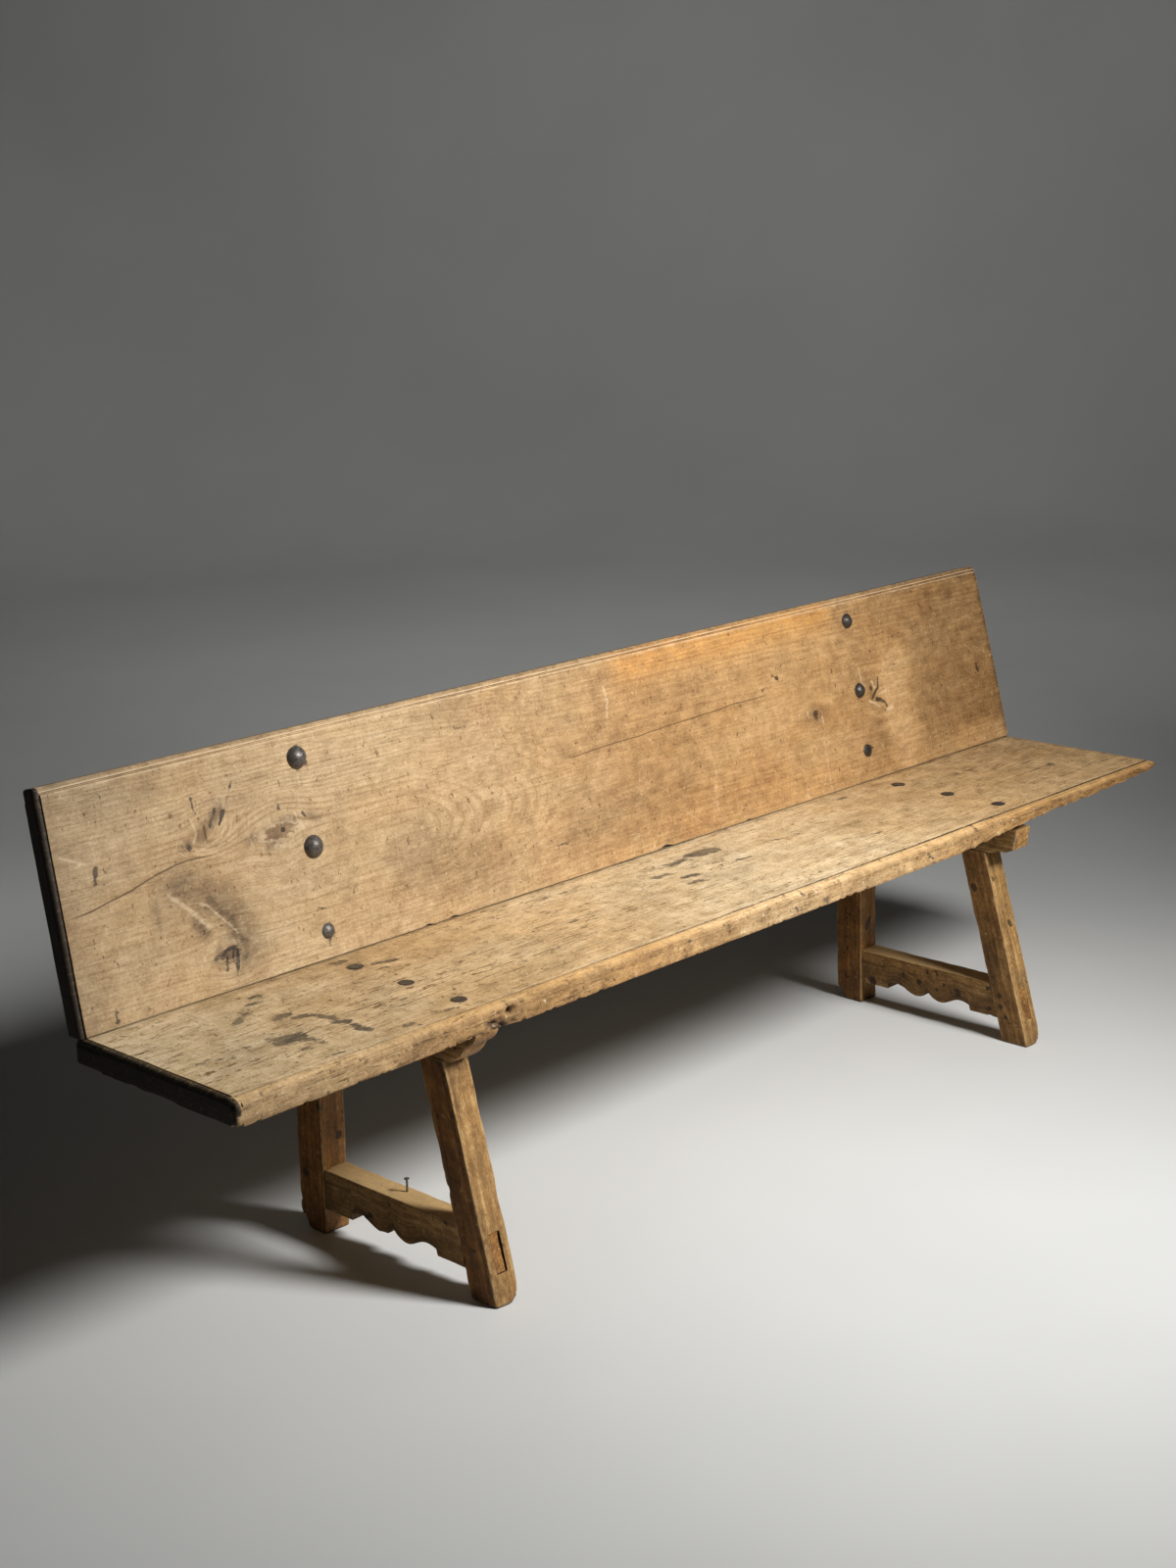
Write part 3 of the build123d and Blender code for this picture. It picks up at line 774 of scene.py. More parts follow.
def seat_dirt_and_shade(nominal, front_gap, end_gap, groove, broken, nails):
    """Dirt at the back, in the breaks, round the nails and on the ends, dirt and painted shade in the
    groove, and painted shade beside the mouldings and along the front face.
    """
    x, _, z = nominal.T
    upper = z > underside + 20
    # Painted shade in a band beside the groove, which widens the groove's dark line
    valley = smooth(front_gap, 15.5, 19) * smooth(front_gap, 24, 23) * upper
    dirt = [
        # The groove: dirt and painted shade
        0.95 * groove,
        np.interp(x, (-900, -300, 400), (0.45, 0.6, 0.8)) * valley,
        # Painted shade on the round along the left end
        0.85 * (x < 0) * smooth(end_gap, 11, 8) * upper,
        # Painted shade in a dark line along the front face, below the round
        0.4 * hill(z, seat_top - 8, 3) * (front_gap < 1),
        0.6 * smooth(front_gap, 343, 350),
        broken,
        0.35 * nails**2,
        x < 0.5 - half_length,
        0.5 * (x > half_length - 0.5),
    ]
    return largest(*dirt)


def seat_wear_and_highlight(nominal, front_gap, worn):
    """Rubbed edges, and most of all a painted highlight on the lip behind the groove."""
    # Painted highlight on the lip behind the groove
    lip = smooth(front_gap, 23.4, 25) * smooth(front_gap, 31, 26) * (nominal[:, 2] > underside + 20)
    rub = np.exp(-edge_gap(nominal, seat_low, seat_high) / 5) * (front_gap < 30) * (0.2 + 0.4 * worn)
    return largest(rub, np.interp(nominal[:, 0], (-900, -300, 400), (0.6, 0.85, 0.75)) * lip)


def seat_smoke(nominal, front_gap):
    """Faint dark clouds, and a darker strip along the back."""
    large = clouds(nominal, (130, 60, 400), 11)
    small = clouds(nominal, (45, 22, 200), 13) * (1 - 0.6 * smooth(np.abs(nominal[:, 0]), 0, 900))
    return np.clip(0.17 * large + 0.17 * small + 0.35 * smooth(front_gap, 325, 350), 0, 1)


def seat_shade(nominal, front_gap):
    """Darker wood on the front edge, the ends and towards the right."""
    x, _, z = nominal.T
    places = (-1140, -950, -720, -560, 300, 600, 850, 1100)
    along = np.interp(x, places, (0.08, 0.08, 0.25, 0.24, 0.0, 0.25, 0.42, 0.55))
    front = 0.6 * smooth(front_gap, 8, 0) + 0.4 * smooth(z, underside + 6, underside)
    ends = 0.8 * (x < 0.5 - half_length) + 0.6 * (x > half_length - 0.5)
    return np.clip(along + front + ends, 0, 1)


def seat_plank():
    nominal, faces = seat_grid()
    x, y, z = nominal.T
    front_gap, end_gap = y - seat_front, half_length - np.abs(x)
    flat = np.stack([x, front_gap], 1)
    worn = smooth(ripple(nominal, (110, 400, 400), 9), -0.2, 0.9)
    groove = grooves(front_gap, moulding_width, end_gap, end_moulding)
    depth, broken = seat_breaks(nominal)
    top, bottom = seat_levels(nominal, front_gap, end_gap, quirk_depth * groove * (1 - 0.45 * worn))
    points = seat_edges(nominal, front_gap, end_gap)
    points[:, 2] = bottom + (points[:, 2] - underside) / (seat_top - underside) * (top - bottom)
    points[:, 1] += depth * np.clip(1 - front_gap / 26, 0, 1)
    nail_places = [(middle, place) for middle in (-trestle, trestle) for place in seat_nail_places]
    nails = nail_marks(flat, nail_places, 0, 0, 20)
    spots = smooth(ripple(nominal, (16, 60, 10), 12), 0.7, 1.5) * (front_gap < 22)
    stain = strongest(seat_marks, flat) * (z > underside + 20)
    tint = np.interp(x, (-950, -700, -400, 0, 300, 700), (0.08, 0.4, 0.45, 0.02, 0.22, 0.55))
    busy_places = (-700, -450, -150, 0, 150, 400, 900)
    fields = {
        "grain": nominal * MM,
        "ring": np.hypot(y - 40, 170 + z - seat_top + 0.03 * x) + 3 * ripple(nominal, (600, 120, 90), 7),
        "wear_and_highlight": 0.8 * seat_wear_and_highlight(nominal, front_gap, worn) * (1 - groove),
        "grime_and_shade": seat_dirt_and_shade(nominal, front_gap, end_gap, groove, broken, nails),
        "stain": largest(stain, 0.5 * spots, 0.5 * nails),
        "figure": np.interp(x, busy_places, (1.0, 0.45, 0.35, 0.7, 0.35, 0.15, 0.3)),
        "smoke": seat_smoke(nominal, front_gap),
        "warm": np.clip(0.35 * smooth(front_gap, 28, 14) + tint, 0, 1),
        "shade": seat_shade(nominal, front_gap),
    }
    make_piece("worn_seat_plank", points, faces, "seat_wood", "seat_plank", fields)


# How far each nail in the back sits from its even place, along and up, from the lowest one
nail_shifts = {"left": ((5, -8), (7, -7), (6, 2)), "right": ((-4, 8), (3, -6), (0, 0))}


def back_nail_places(side, x):
    return [(x + along, rise + up) for rise, (along, up) in zip(nail_rises, nail_shifts[side])]


# Back plank, in its own frame: along, into its thickness, and up its face
back_origin = np.array([0.0, back_foot, seat_top])
back_axes = np.array([[1, 0, 0], [0, math.cos(lean), -math.sin(lean)], [0, math.sin(lean), math.cos(lean)]])


def from_back(points):
    """Places in the bench's frame, from places along the back, into it and up it."""
    return back_origin + np.asarray(points, float) @ back_axes


# Where the growth rings show on the back: the ends of each line, along and up, its width and strength
grain_figure = (
    ((-262, 152), (-190, 152), 22, 1.0),
    ((-430, 160), (-320, 155), 20, 0.55),
    ((-900, 230), (-680, 215), 70, 0.7),
    ((-780, 290), (-560, 275), 50, 0.7),
    ((-560, 215), (-480, 190), 34, 0.5),
)

# Dark marks on the back: each one's path, along and up, its width and strength
back_marks = (
    (((-845, 267), (-850, 258), (-856, 251)), 4, 0.8),
    (((-831, 260), (-836, 252), (-841, 244)), 4, 0.95),
    (((-858, 246), (-858, 244)), 4, 0.95),
    (((-876, 260), (-882, 275), (-883, 292)), 3, 0.62),
    (((-825, 264), (-818, 280), (-804, 305)), 3, 0.5),
    (((-903, 226), (-902, 221)), 6, 0.7),
    (((-729, 211), (-727, 211)), 4, 0.95),
    (((-758, 214), (-752, 206)), 4, 0.55),
    (((-686, 230), (-682, 222)), 5, 0.62),
    (((-784, 210), (-779, 206)), 6, 0.6),
    (((-874, 60), (-862, 62), (-852, 60)), 4, 1.0),
    (((-878, 52), (-872, 58)), 5, 1.0),
    (((-870, 52), (-874, 40)), 3, 0.95),
    (((-858, 57), (-860, 48)), 3, 0.9),
    (((-851, 58), (-852, 44), (-855, 30)), 4, 1.0),
    (((-855, 30), (-860, 16)), 3, 0.6),
    (((-868, 53), (-874, 32)), 3, 0.7),
    (((-885, 56), (-892, 51)), 4, 0.7),
    (((-1064, 229), (-1068, 209)), 5, 0.8),
    (((-1073, 21), (-1075, 8)), 5, 0.7),
    (((-690, 81), (-676, 79)), 4, 0.55),
    (((-540, 84), (-534, 70)), 4, 0.55),
    (((-729, 256), (-729, 240)), 4, 0.5),
    (((-352, 297), (-330, 295)), 6, 0.6),
    (((408, 224), (418, 228)), 5, 0.7),
    (((440, 246), (456, 238)), 5, 0.75),
    (((748, 190), (746, 172), (731, 161), (721, 152)), 3, 0.8),
    (((747, 180), (744, 170)), 4.5, 0.9),
    (((722, 174), (722, 172)), 4.5, 0.85),
    (((736, 149), (748, 145), (758, 139), (763, 131)), 4, 0.95),
    (((748, 130), (756, 124)), 3, 0.7),
    (((1076, 162), (1079, 148)), 5, 0.9),
    (((-665, 302), (-663, 302)), 5, 0.9),
    (((-190, 60), (-150, 62)), 8, 0.4),
    (((-122, 85), (-110, 83)), 9, 0.36),
    (((-52, 76), (-48, 68)), 9, 0.42),
    (((-92, 52), (-92, 38)), 8, 0.34),
    (((-303, 187), (-296, 177)), 5, 0.62),
    (((-432, 218), (-430, 212)), 5, 0.5),
    (((-359, 287), (-345, 295)), 5, 0.5),
)

# Soft smoky shadows in the wood round the knots, in the same way
back_smoke = (
    (((-942, 172), (-914, 174)), 19, 0.85),
    (((-930, 168), (-866, 132), (-836, 96), (-830, 50)), 36, 0.68),
    (((-880, 230), (-866, 242)), 12, 0.65),
    (((-856, 250), (-838, 264)), 11, 0.9),
    (((-885, 138), (-852, 108), (-842, 76)), 19, 1.0),
    (((-836, 68), (-840, 44)), 20, 1.0),
    (((-900, 94), (-912, 112)), 13, 0.9),
    (((-977, 158), (-977, 120)), 9, 0.55),
    (((-831, 30), (-852, 22)), 18, 0.4),
    (((-882, 62), (-886, 50)), 10, 0.65),
    (((-904, 224), (-900, 228)), 8, 0.6),
    (((-757, 193), (-745, 195)), 10, 0.7),
    (((-672, 222), (-660, 214)), 9, 0.7),
    (((-730, 224), (-700, 222)), 7, 0.6),
    (((-777, 210), (-792, 210)), 9, 0.5),
    (((-1140, 340), (-960, 330)), 40, 0.34),
    (((-1140, 300), (-1140, 20)), 45, 0.32),
    (((1140, 350), (1140, 20)), 9, 0.75),
    (((-420, 330), (-330, 330)), 24, 0.22),
    (((-480, 110), (-330, 60)), 60, 0.3),
    (((-700, 120), (-560, 60)), 45, 0.15),
    (((520, 150), (580, 152)), 16, 0.4),
    (((718, 186), (738, 130)), 16, 0.4),
    (((729, 104), (736, 55)), 20, 0.36),
    (((673, 214), (676, 204)), 9, 0.4),
    (((-120, 80), (160, 110)), 44, 0.26),
)

# Pale rubbed marks on the back, in the same way
back_rubs = (
    (((-951, 162), (-925, 138), (-890, 100)), 7, 0.75),
    (((-906, 141), (-887, 131), (-844, 82)), 4, 0.7),
    (((-848, 58), (-856, 76)), 3, 0.55),
    (((-829, 288), (-826, 268)), 9, 0.55),
    (((-890, 262), (-884, 240), (-892, 227)), 4, 0.7),
    (((-894, 212), (-866, 217), (-843, 225), (-830, 240)), 3, 0.75),
    (((-884, 207), (-851, 211), (-826, 226), (-818, 246)), 3, 0.6),
    (((-872, 224), (-856, 232), (-848, 242)), 3, 0.65),
    (((-838, 272), (-834, 286)), 8, 0.6),
    (((-747, 190), (-722, 186)), 6, 0.7),
    (((-697, 218), (-700, 232)), 4, 0.75),
    (((-792, 214), (-788, 200)), 5, 0.6),
    (((-860, 206), (-838, 214), (-830, 240)), 4, 0.5),
    (((-714, 190), (-700, 192)), 9, 0.5),
    (((-812, 170), (-766, 159)), 3, 0.5),
    (((-815, 111), (-763, 110), (-738, 119)), 5, 0.45),
    (((-693, 218), (-690, 204)), 7, 0.6),
    (((-1117, 255), (-1079, 238)), 4, 0.8),
    (((0, 302), (3, 276), (-4, 252)), 6, 0.7),
    (((247, 107), (230, 50), (214, 9)), 8, 0.5),
    (((12, 36), (20, 30)), 20, 0.5),
    (((484, 5), (484, 105)), 5, 0.55),
    (((556, 5), (556, 110)), 5, 0.6),
    (((237, 0), (237, 60)), 5, 0.5),
    (((698, 204), (702, 180)), 8, 0.5),
    (((728, 186), (733, 172)), 4, 0.8),
    (((712, 150), (724, 144), (739, 135)), 4, 0.85),
    (((745, 157), (768, 161)), 4, 0.8),
    (((749, 168), (768, 168)), 3, 0.7),
    (((764, 124), (780, 126)), 5, 0.9),
    (((523, 160), (524, 150)), 7, 0.6),
    (((563, 146), (563, 134)), 6, 0.7),
    (((695, 217), (696, 180)), 4, 0.75),
    (((762, 196), (776, 216)), 8, 0.6),
)

# Chips in the top edge: along, half width and depth. Dents in the lower edge: along, half width and height
top_chips = ((-382, 14, 2.2), (188, 10, 3.0), (-40, 18, 1.5), (610, 20, 1.6), (-900, 16, 1.4))
foot_dents = ((85, 12, 5), (-480, 7, 3), (-425, 9, 3), (310, 6, 2))

# How far the back's right end leans in at its top, and how far its upper corner is worn down
right_lean = 19.0
right_corner = 5.0

# The depth of the pith behind the back's face, which sets the width of its growth rings, and its height
pith_places = (-1140, -700, -450, -319, -275, -165, 0, 500, 1140)
pith_depths = (70, 60, 62, 97, 99, 127, 134, 140, 146)
pith_height = 155

back_low = np.array([-half_length, 0, 0])
back_high = np.array([half_length, back_thickness, back_width])


def back_grid():
    """Points and faces of the back, closer together at its mouldings and knots."""
    ends = end_stations(back_moulding, back_radius)
    knotty = np.concatenate([np.arange(-990, -660, 1.75), np.arange(690, 800, 1.75)])
    xs = stations(-half_length, half_length, 3.5, 2.5, np.concatenate([ends - half_length, knotty]))
    ys = stations(0, back_thickness, 4.0, 2.5)
    zs = stations(0, back_width, 2.8, 2.5, back_width - ends)
    return surface(xs, ys, zs)


def back_shape(nominal, top_gap, end_gap, groove):
    """The back's points: moulded, worn, chipped and cut level at the foot."""
    x, y, z = nominal.T
    radius = 1.5 + 0.7 * ripple(nominal, (60, 40, 40), 14)
    radius = np.where((y > 20) & (top_gap < 20), 5.0, np.clip(radius, 0.7, 4))
    points = rounded(nominal, back_low, back_high, radius)
    drop = [thumbnail(gap, back_radius, back_radius * 0.999) for gap in (top_gap, end_gap)]
    worn = smooth(ripple(nominal, (120, 400, 400), 19), 0.0, 0.9)
    wobble = dips(nominal, (170, 100, 60), 15)
    chips = largest(*(deep * hill(x, place, wide) for place, wide, deep in top_chips))
    chips = chips * smooth(top_gap, 22, 8)
    front = largest(*drop) + quirk_depth * groove * (1 - 0.5 * worn) + 0.8 * wobble + chips
    points[:, 1] = front + points[:, 1] / back_thickness * (back_thickness - front)
    for place, wide, tall in foot_dents:
        points[:, 2] += tall * hill(x, place, wide) * np.clip(1 - z / 14, 0, 1)
    points[:, 2] += (1 - z / back_width) * math.tan(lean) * points[:, 1]
    corner = smooth(x, half_length - 14, half_length) * smooth(top_gap, 40, 0)
    points[:, 2] -= right_corner * corner**2
    points[:, 0] -= right_lean * (z / back_width) ** 1.3 * smooth(x, half_length - 200, half_length)
    return points


def bent_grain(x, z):
    """Each place's height in the grain, which bends round the knots."""
    across = z.copy()
    for knot_x, knot_z, _, _, bend, *_ in back_knots:
        near = hill(x, knot_x, bend) * hill(z, knot_z, 0.8 * bend)
        across += (knot_z - z) * 0.8 * near
    return across


def back_wear_and_highlight(nominal, flat, top_gap):
    """Rubbed edges, painted highlights on both lips of the top groove, and the pale marks."""
    edges = 0.75 * np.exp(-edge_gap(nominal, back_low, back_high) / 4) * (nominal[:, 1] < 6)
    # Painted highlights along both lips of the top groove
    lower_lip = 0.95 * smooth(top_gap, 10.8, 11.6) * smooth(top_gap, 16, 12)
    upper_lip = 0.95 * smooth(top_gap, 4, 7) * smooth(top_gap, 8.6, 7.8)
    return largest(edges, lower_lip, upper_lip, strongest(back_rubs, flat))


def back_shade(x, fan, strip):
    """Darker wood towards the right and both ends, but not in the pale fan and strip."""
    places = (-1140, -950, -600, -300, 0, 300, 600, 800, 950)
    along = np.interp(x, places, (0.28, 0.08, 0.08, 0.26, 0.4, 0.26, 0.26, 0.56, 0.7))
    return along * (1 - 0.8 * fan) * (1 - 0.7 * strip)


def pale_strip(x, z):
    """A paler strip along the foot of the back, at the right and left of the middle."""
    right = smooth(x, 850, 1000) * smooth(z, 60, 25)
    middle = 0.6 * smooth(z, 32, 18) * smooth(x, -520, -420) * smooth(x, 120, 0)
    return right + middle


def back_plank():
    nominal, faces = back_grid()
    x, y, z = nominal.T
    flat = np.stack([x, z], 1)
    top_gap, end_gap = back_width - z, x + half_length
    groove = grooves(top_gap, back_moulding, end_gap, back_moulding)
    points = back_shape(nominal, top_gap, end_gap, groove)
    across = bent_grain(x, z)
    nail_places = back_nail_places("left", -trestle) + back_nail_places("right", trestle)
    nails = nail_marks(flat, nail_places, 4, 2, 24)
    in_front = y < back_thickness / 2
    band = near_line(flat, (60, 330), (600, 338), 36)
    fan = smooth(near_path(flat, ((800, 205), (790, 130), (805, 25)), 60), 0.0, 0.9)
    strip = pale_strip(x, z)
    left_end, right_end = end_gap < 0.5, x > half_length - 0.5
    # The left end face is dark, and the round beside it is darkened as painted shade
    left_end_and_shaded_rim = largest(left_end, 0.95 * smooth(end_gap, 10, 7))
    # Dirt in the grooves, and painted shade in the left end's groove
    groove_dirt_and_shade = 0.85 * groove - 0.65 * groove * (end_gap > back_moulding)
    foot = 0.7 * smooth(z, 4, 0)
    bead = smooth(top_gap, 8, 3) * (0.2 + 0.32 * clouds(nominal, (40, 40, 40), 20))
    pith = np.hypot(across - pith_height, np.interp(x, pith_places, pith_depths) + y)
    rub = back_wear_and_highlight(nominal, flat, top_gap) * (1 - groove)
    warm = np.interp(x, (-700, -300, 0, 300, 1140), (0.0, 0.18, 0.48, 0.58, 0.6))
    shade = back_shade(x, fan, strip) * (1 - band) + 0.4 * (~in_front) + 0.8 * left_end + 0.6 * right_end
    fields = {
        "grain": np.stack([x, across, y], 1) * MM + (back_shift, 0, 0),
        "ring": pith + 3 * ripple(nominal, (600, 120, 60), 17),
        "wear_and_highlight": largest(rub, 0.35 * band, 0.46 * fan, 0.4 * strip) * in_front,
        "grime_and_shade": largest(groove_dirt_and_shade, foot, 0.45 * nails**2, left_end_and_shaded_rim, 0.5 * right_end),
        "stain": largest(strongest(back_marks, flat), 0.45 * nails) * in_front,
        "face": np.stack([x, z, 0 * z], 1) * MM,
        "figure": largest(*(near_line(flat, *place) * share for *place, share in grain_figure)),
        "smoke": largest(strongest(back_smoke, flat), bead) * in_front,
        "warm": np.clip(warm + 0.45 * band, 0, 1) * in_front,
        "shade": np.clip(shade, 0, 1),
    }
    make_piece("worn_back_plank", from_back(points), faces, "back_wood", "back_plank", fields)


# Frame pieces: hewn square timber with worn and chipped edges
along_z, along_y = (2, 0, 1), (1, 0, 2)


def timber_grain(nominal, axes, seed):
    """Grain coordinates, along the first of the axes, that differ from piece to piece."""
    return nominal[:, axes] * MM + (grain_step * seed, 0, 0)


def worn_radius(nominal, radius, chip, seed):
    """The radius of a worn edge, with chips of up to about the given size."""
    chips = np.clip(ripple(nominal, (12, 12, 12), seed + 1) - 0.8, 0, 1) * chip
    return np.clip(radius * (1 + 0.6 * ripple(nominal, (28, 28, 28), seed)) + chips, 0.6, chip)


def hewn(xs, ys, zs, radius, seed, axes, cells=None):
    """Nominal and worn points of a piece of timber, its faces, and how near each point is to an edge."""
    low, high = np.array([xs[0], ys[0], zs[0]]), np.array([xs[-1], ys[-1], zs[-1]])
    nominal, faces = surface(xs, ys, zs, cells)
    points = rounded(nominal, low, high, worn_radius(nominal, radius, 8, seed))
    sink(points, nominal, low, high, dips(nominal, (45, 45, 45), seed + 2, 1.2), axes)
    return nominal, points, faces, np.exp(-edge_gap(nominal, low, high) / 6)


def blotches(points, seed):
    """Scattered dark marks."""
    return 0.9 * smooth(ripple(points, (14, 14, 22), seed + 4), 0.95, 1.6)


def turned_away(lx):
    """1 on the left face of a leg or post, where shade is painted."""
    return smooth(-lx, leg_width / 2 - 4, leg_width / 2 - 0.5)


def make_timber(node, points, faces, fields):
    make_piece(f"worn_{node}", points, faces, "frame_wood", node, fields)


def leg_front(height):
    """Where the raked front leg's front is, at a height."""
    return leg_foot + leg_slope * height


def leg_knocks(nominal, points, seed):
    """A knocked lower corner and an uneven end."""
    lx, _, lz = nominal.T
    knock = 7 * near_line(nominal, (leg_width / 2, 0, 0), (leg_width / 2, 14, 12), 13)
    uneven = 1.5 * (lz < 1) * clouds(nominal, (20, 20, 20), seed + 5)
    points[:, 0] -= knock * (lx > 0)
    points[:, 2] += 0.8 * knock * (lz < 12) + uneven


def front_leg(side, x, seed, marks):
    left = side == "left"
    gap = tenon_width / 2 + mortise_gaps[side]
    hole_low, hole_high = stretcher_bottom + tenon_shoulder, stretcher_top - tenon_shoulder
    xs = stations(-leg_width / 2, leg_width / 2, 4.0, 3.0, (-gap, gap))
    ys = stations(0, leg_depth, 4.0, 3.0)
    zs = stations(0, batten_bottom, 5.0, 3.0, (hole_low, hole_high))
    cx, _, cz = middles(xs, ys, zs)
    solid = ~((abs(cx) < gap) & (cz > hole_low) & (cz < hole_high))
    nominal, points, faces, rub = hewn(xs, ys, zs, 2.6, seed, (0, 1), solid)
    leg_knocks(nominal, points, seed)
    points[:, 1] += leg_front(points[:, 2])
    points[:, 0] += x
    lx, ly, lz = nominal.T
    side_place = nominal[:, 1:]
    inside = (np.abs(lx) < gap + 0.1) & (lz > hole_low - 0.1) & (lz < hole_high + 0.1) & (ly > 1)
    mouth = near_line(nominal[:, [0, 2]], (0, hole_low + 10), (0, hole_high - 10), 13) * (ly < 3) * left
    holes = largest(*(0 * lx, *(near_line(side_place, mark, mark, 6) for mark in marks))) * (lx < -20)
    peg_place = (leg_depth / 2, (hole_low + hole_high) / 2)
    peg = near_line(side_place, peg_place, peg_place, 8) * (np.abs(lx) > 20)
    # Painted shade on the left face, darker and warmer on the left leg, and a painted paler tone on the
    # other faces
    turned = turned_away(lx)
    dim = 0.75 if left else 0.4
    ends = largest(0.8 * smooth(lz, 6, 0), 0.5 * smooth(lz, 352, 360))
    # Darker towards the foot, and painted shade near the top under the seat and on the left face
    shade = 0.35 * smooth(lz, 60, 0) + 0.2 * smooth(lz, 280, 360) + 0.75 * dim * turned
    fields = {
        "grain": timber_grain(nominal, along_z, seed),
        "ring": np.hypot(lx - 35, ly - 70) + 2 * ripple(nominal, (40, 40, 300), seed + 3),
        "wear_and_highlight": largest(0.9 * rub, np.where(turned > 0, 0, 0.42)),
        "grime_and_shade": largest(inside, 0.45 * peg, ends),
        "stain": largest(blotches(nominal, seed), 0.5 * mouth, 0.3 * peg, 0.9 * holes),
        "smoke": 0.5 * clouds(nominal, (30, 30, 70), seed + 6),
        "warm": dim * turned + 0.1 * left,
        "shade": np.clip(shade, 0, 1),
    }
    make_timber(f"{side}_front_leg", points, faces, fields)


def bent_post(points, x, height):
    """A straight post's points, bent at the seat to lean with the back and thinned towards its top."""
    shoulder = back_foot + back_thickness / math.cos(lean)
    behind = back_thickness + post_top_depth
    top, top_rear = from_back([(0, back_thickness, post_top_rise), (0, behind, post_top_rise)])
    rise, share = points[:, 2], points[:, 1] / rear_depth
    rear = post_front + rear_depth
    steps = (0, seat_top - 1, seat_top, height)
    front_y = np.interp(rise, steps, (post_front, post_front, shoulder, top[1]))
    front_z = np.interp(rise, steps, (0, seat_top - 1, seat_top, top[2]))
    rear_y = np.interp(rise, (0, knee, height), (rear, rear, top_rear[1]))
    rear_z = np.interp(rise, (0, knee, height), (0, knee, top_rear[2]))
    bent_y = front_y + share * (rear_y - front_y)
    return np.stack([points[:, 0] + x, bent_y, front_z + share * (rear_z - front_z)], 1)


def rear_post(side, x, seed):
    height = 780.0
    xs = stations(-leg_width / 2, leg_width / 2, 5.0, 3.0)
    ys = stations(0, rear_depth, 5.0, 3.0)
    zs = stations(0, height, 6.0, 3.0, (seat_top - 1, seat_top))
    nominal, points, faces, rub = hewn(xs, ys, zs, 2.6, seed, (0, 1))
    lx, ly, lz = nominal.T
    foot = 16 * near_line(nominal[:, 1:], (rear_depth, 0), (rear_depth, 6), 13)
    points[:, 1] -= 0.8 * foot
    points[:, 2] += foot * (lz < 20)
    # Painted shade on the left face, darker and warmer
    turned = turned_away(lx)
    dim = 0.05 if side == "left" else 0.22
    # Painted shade under the seat, and dirt where the seat meets the post
    under_seat_dirt_and_shade = 0.5 * smooth(lz, 395, 413) * smooth(lz, 450, 445)
    fields = {
        "grain": timber_grain(nominal, along_z, seed),
        "ring": np.hypot(lx + 30, ly - 90) + 2 * ripple(nominal, (40, 40, 300), seed + 3),
        "wear_and_highlight": 0.8 * rub,
        "grime_and_shade": largest(0.8 * smooth(lz, 6, 0), under_seat_dirt_and_shade),
        "stain": blotches(nominal, seed),
        "smoke": 0.25 * clouds(nominal, (40, 40, 60), seed + 6),
        "warm": 0.55 + 0.2 * turned,
        "shade": np.clip(dim * (1 + turned) + 0.4 * smooth(lz, 70, 0), 0, 1),
    }
    make_timber(f"{side}_rear_post", bent_post(points, x, height), faces, fields)


def arc_points(start, end, bulge):
    """Places on a shallow arc between two places, bulging forward and down."""
    start, end = np.array(start, float), np.array(end, float)
    t = np.linspace(0, 1, 9)[:, None]
    way = (end - start) / np.linalg.norm(end - start)
    return start + t * (end - start) + bulge * 4 * t * (1 - t) * np.array([way[1], -way[0]])


def nose_line(side):
    """The front of a batten, from its top down, as places back from the seat's front edge and up."""
    if side == "left":
        crease = (29, underside - 23)
        first = arc_points((4, underside), crease, 4.0)
        return np.concatenate([first, arc_points(crease, (60, batten_bottom), 4.0)[1:]])
    heel = batten_bottom + 6
    chin = (13, underside - 39)
    return np.array([(6, underside), chin, (30, heel + 0.4), (52, heel - 0.4), (58, batten_bottom)])


def seat_batten(side, x, seed):
    nose = nose_line(side)[::-1]
    start = seat_front + 4
    xs = stations(-batten_width / 2, batten_width / 2, 4.0, 2.5)
    ys = stations(start, post_front, 5.0, 2.5)
    zs = stations(batten_bottom, underside, 3.0, 2.0, np.unique(nose[1:-1, 1].round(1)))
    nominal, points, faces, rub = hewn(xs, ys, zs, 2.2, seed, (0,))
    lx, ly, lz = nominal.T
    front = seat_front + np.interp(points[:, 2], nose[:, 1], nose[:, 0])
    points[:, 1] = front + (points[:, 1] - start) / (post_front - start) * (post_front - front)
    points[:, 0] += x
    # The nose is worn and paler, with painted light where the light falls on it; behind it the batten is
    # darker, with painted shade under the seat
    end = ly < start + 1
    fields = {
        "grain": timber_grain(nominal, along_y, seed),
        "ring": np.hypot(lx - 20, lz - 300) + 2 * ripple(nominal, (40, 300, 40), seed + 3),
        "wear_and_highlight": largest(0.8 * rub, 0.5 * end),
        "grime_and_shade": 0.5 * smooth(lz, underside - 4, underside),
        "stain": blotches(nominal, seed),
        "warm": 0.6 * end,
        "shade": np.clip(0.6 * smooth(ly, start, start + 60), 0, 1),
    }
    make_timber(f"{side}_seat_batten", points, faces, fields)


# The scallops of a stretcher's lower edge, from its middle
scallop_lobe, scallop_arch, scallop_end = 28.0, 76.0, 97.0
scallop_rise, scallop_end_rise = 15.0, 10.0


def arc_drop(place, reach, drop):
    """How far an arc of a reach falls by its end, at a place along it."""
    radius = (reach**2 + drop**2) / (2 * drop)
    return radius - np.sqrt(radius**2 - np.clip(place, 0, reach) ** 2)


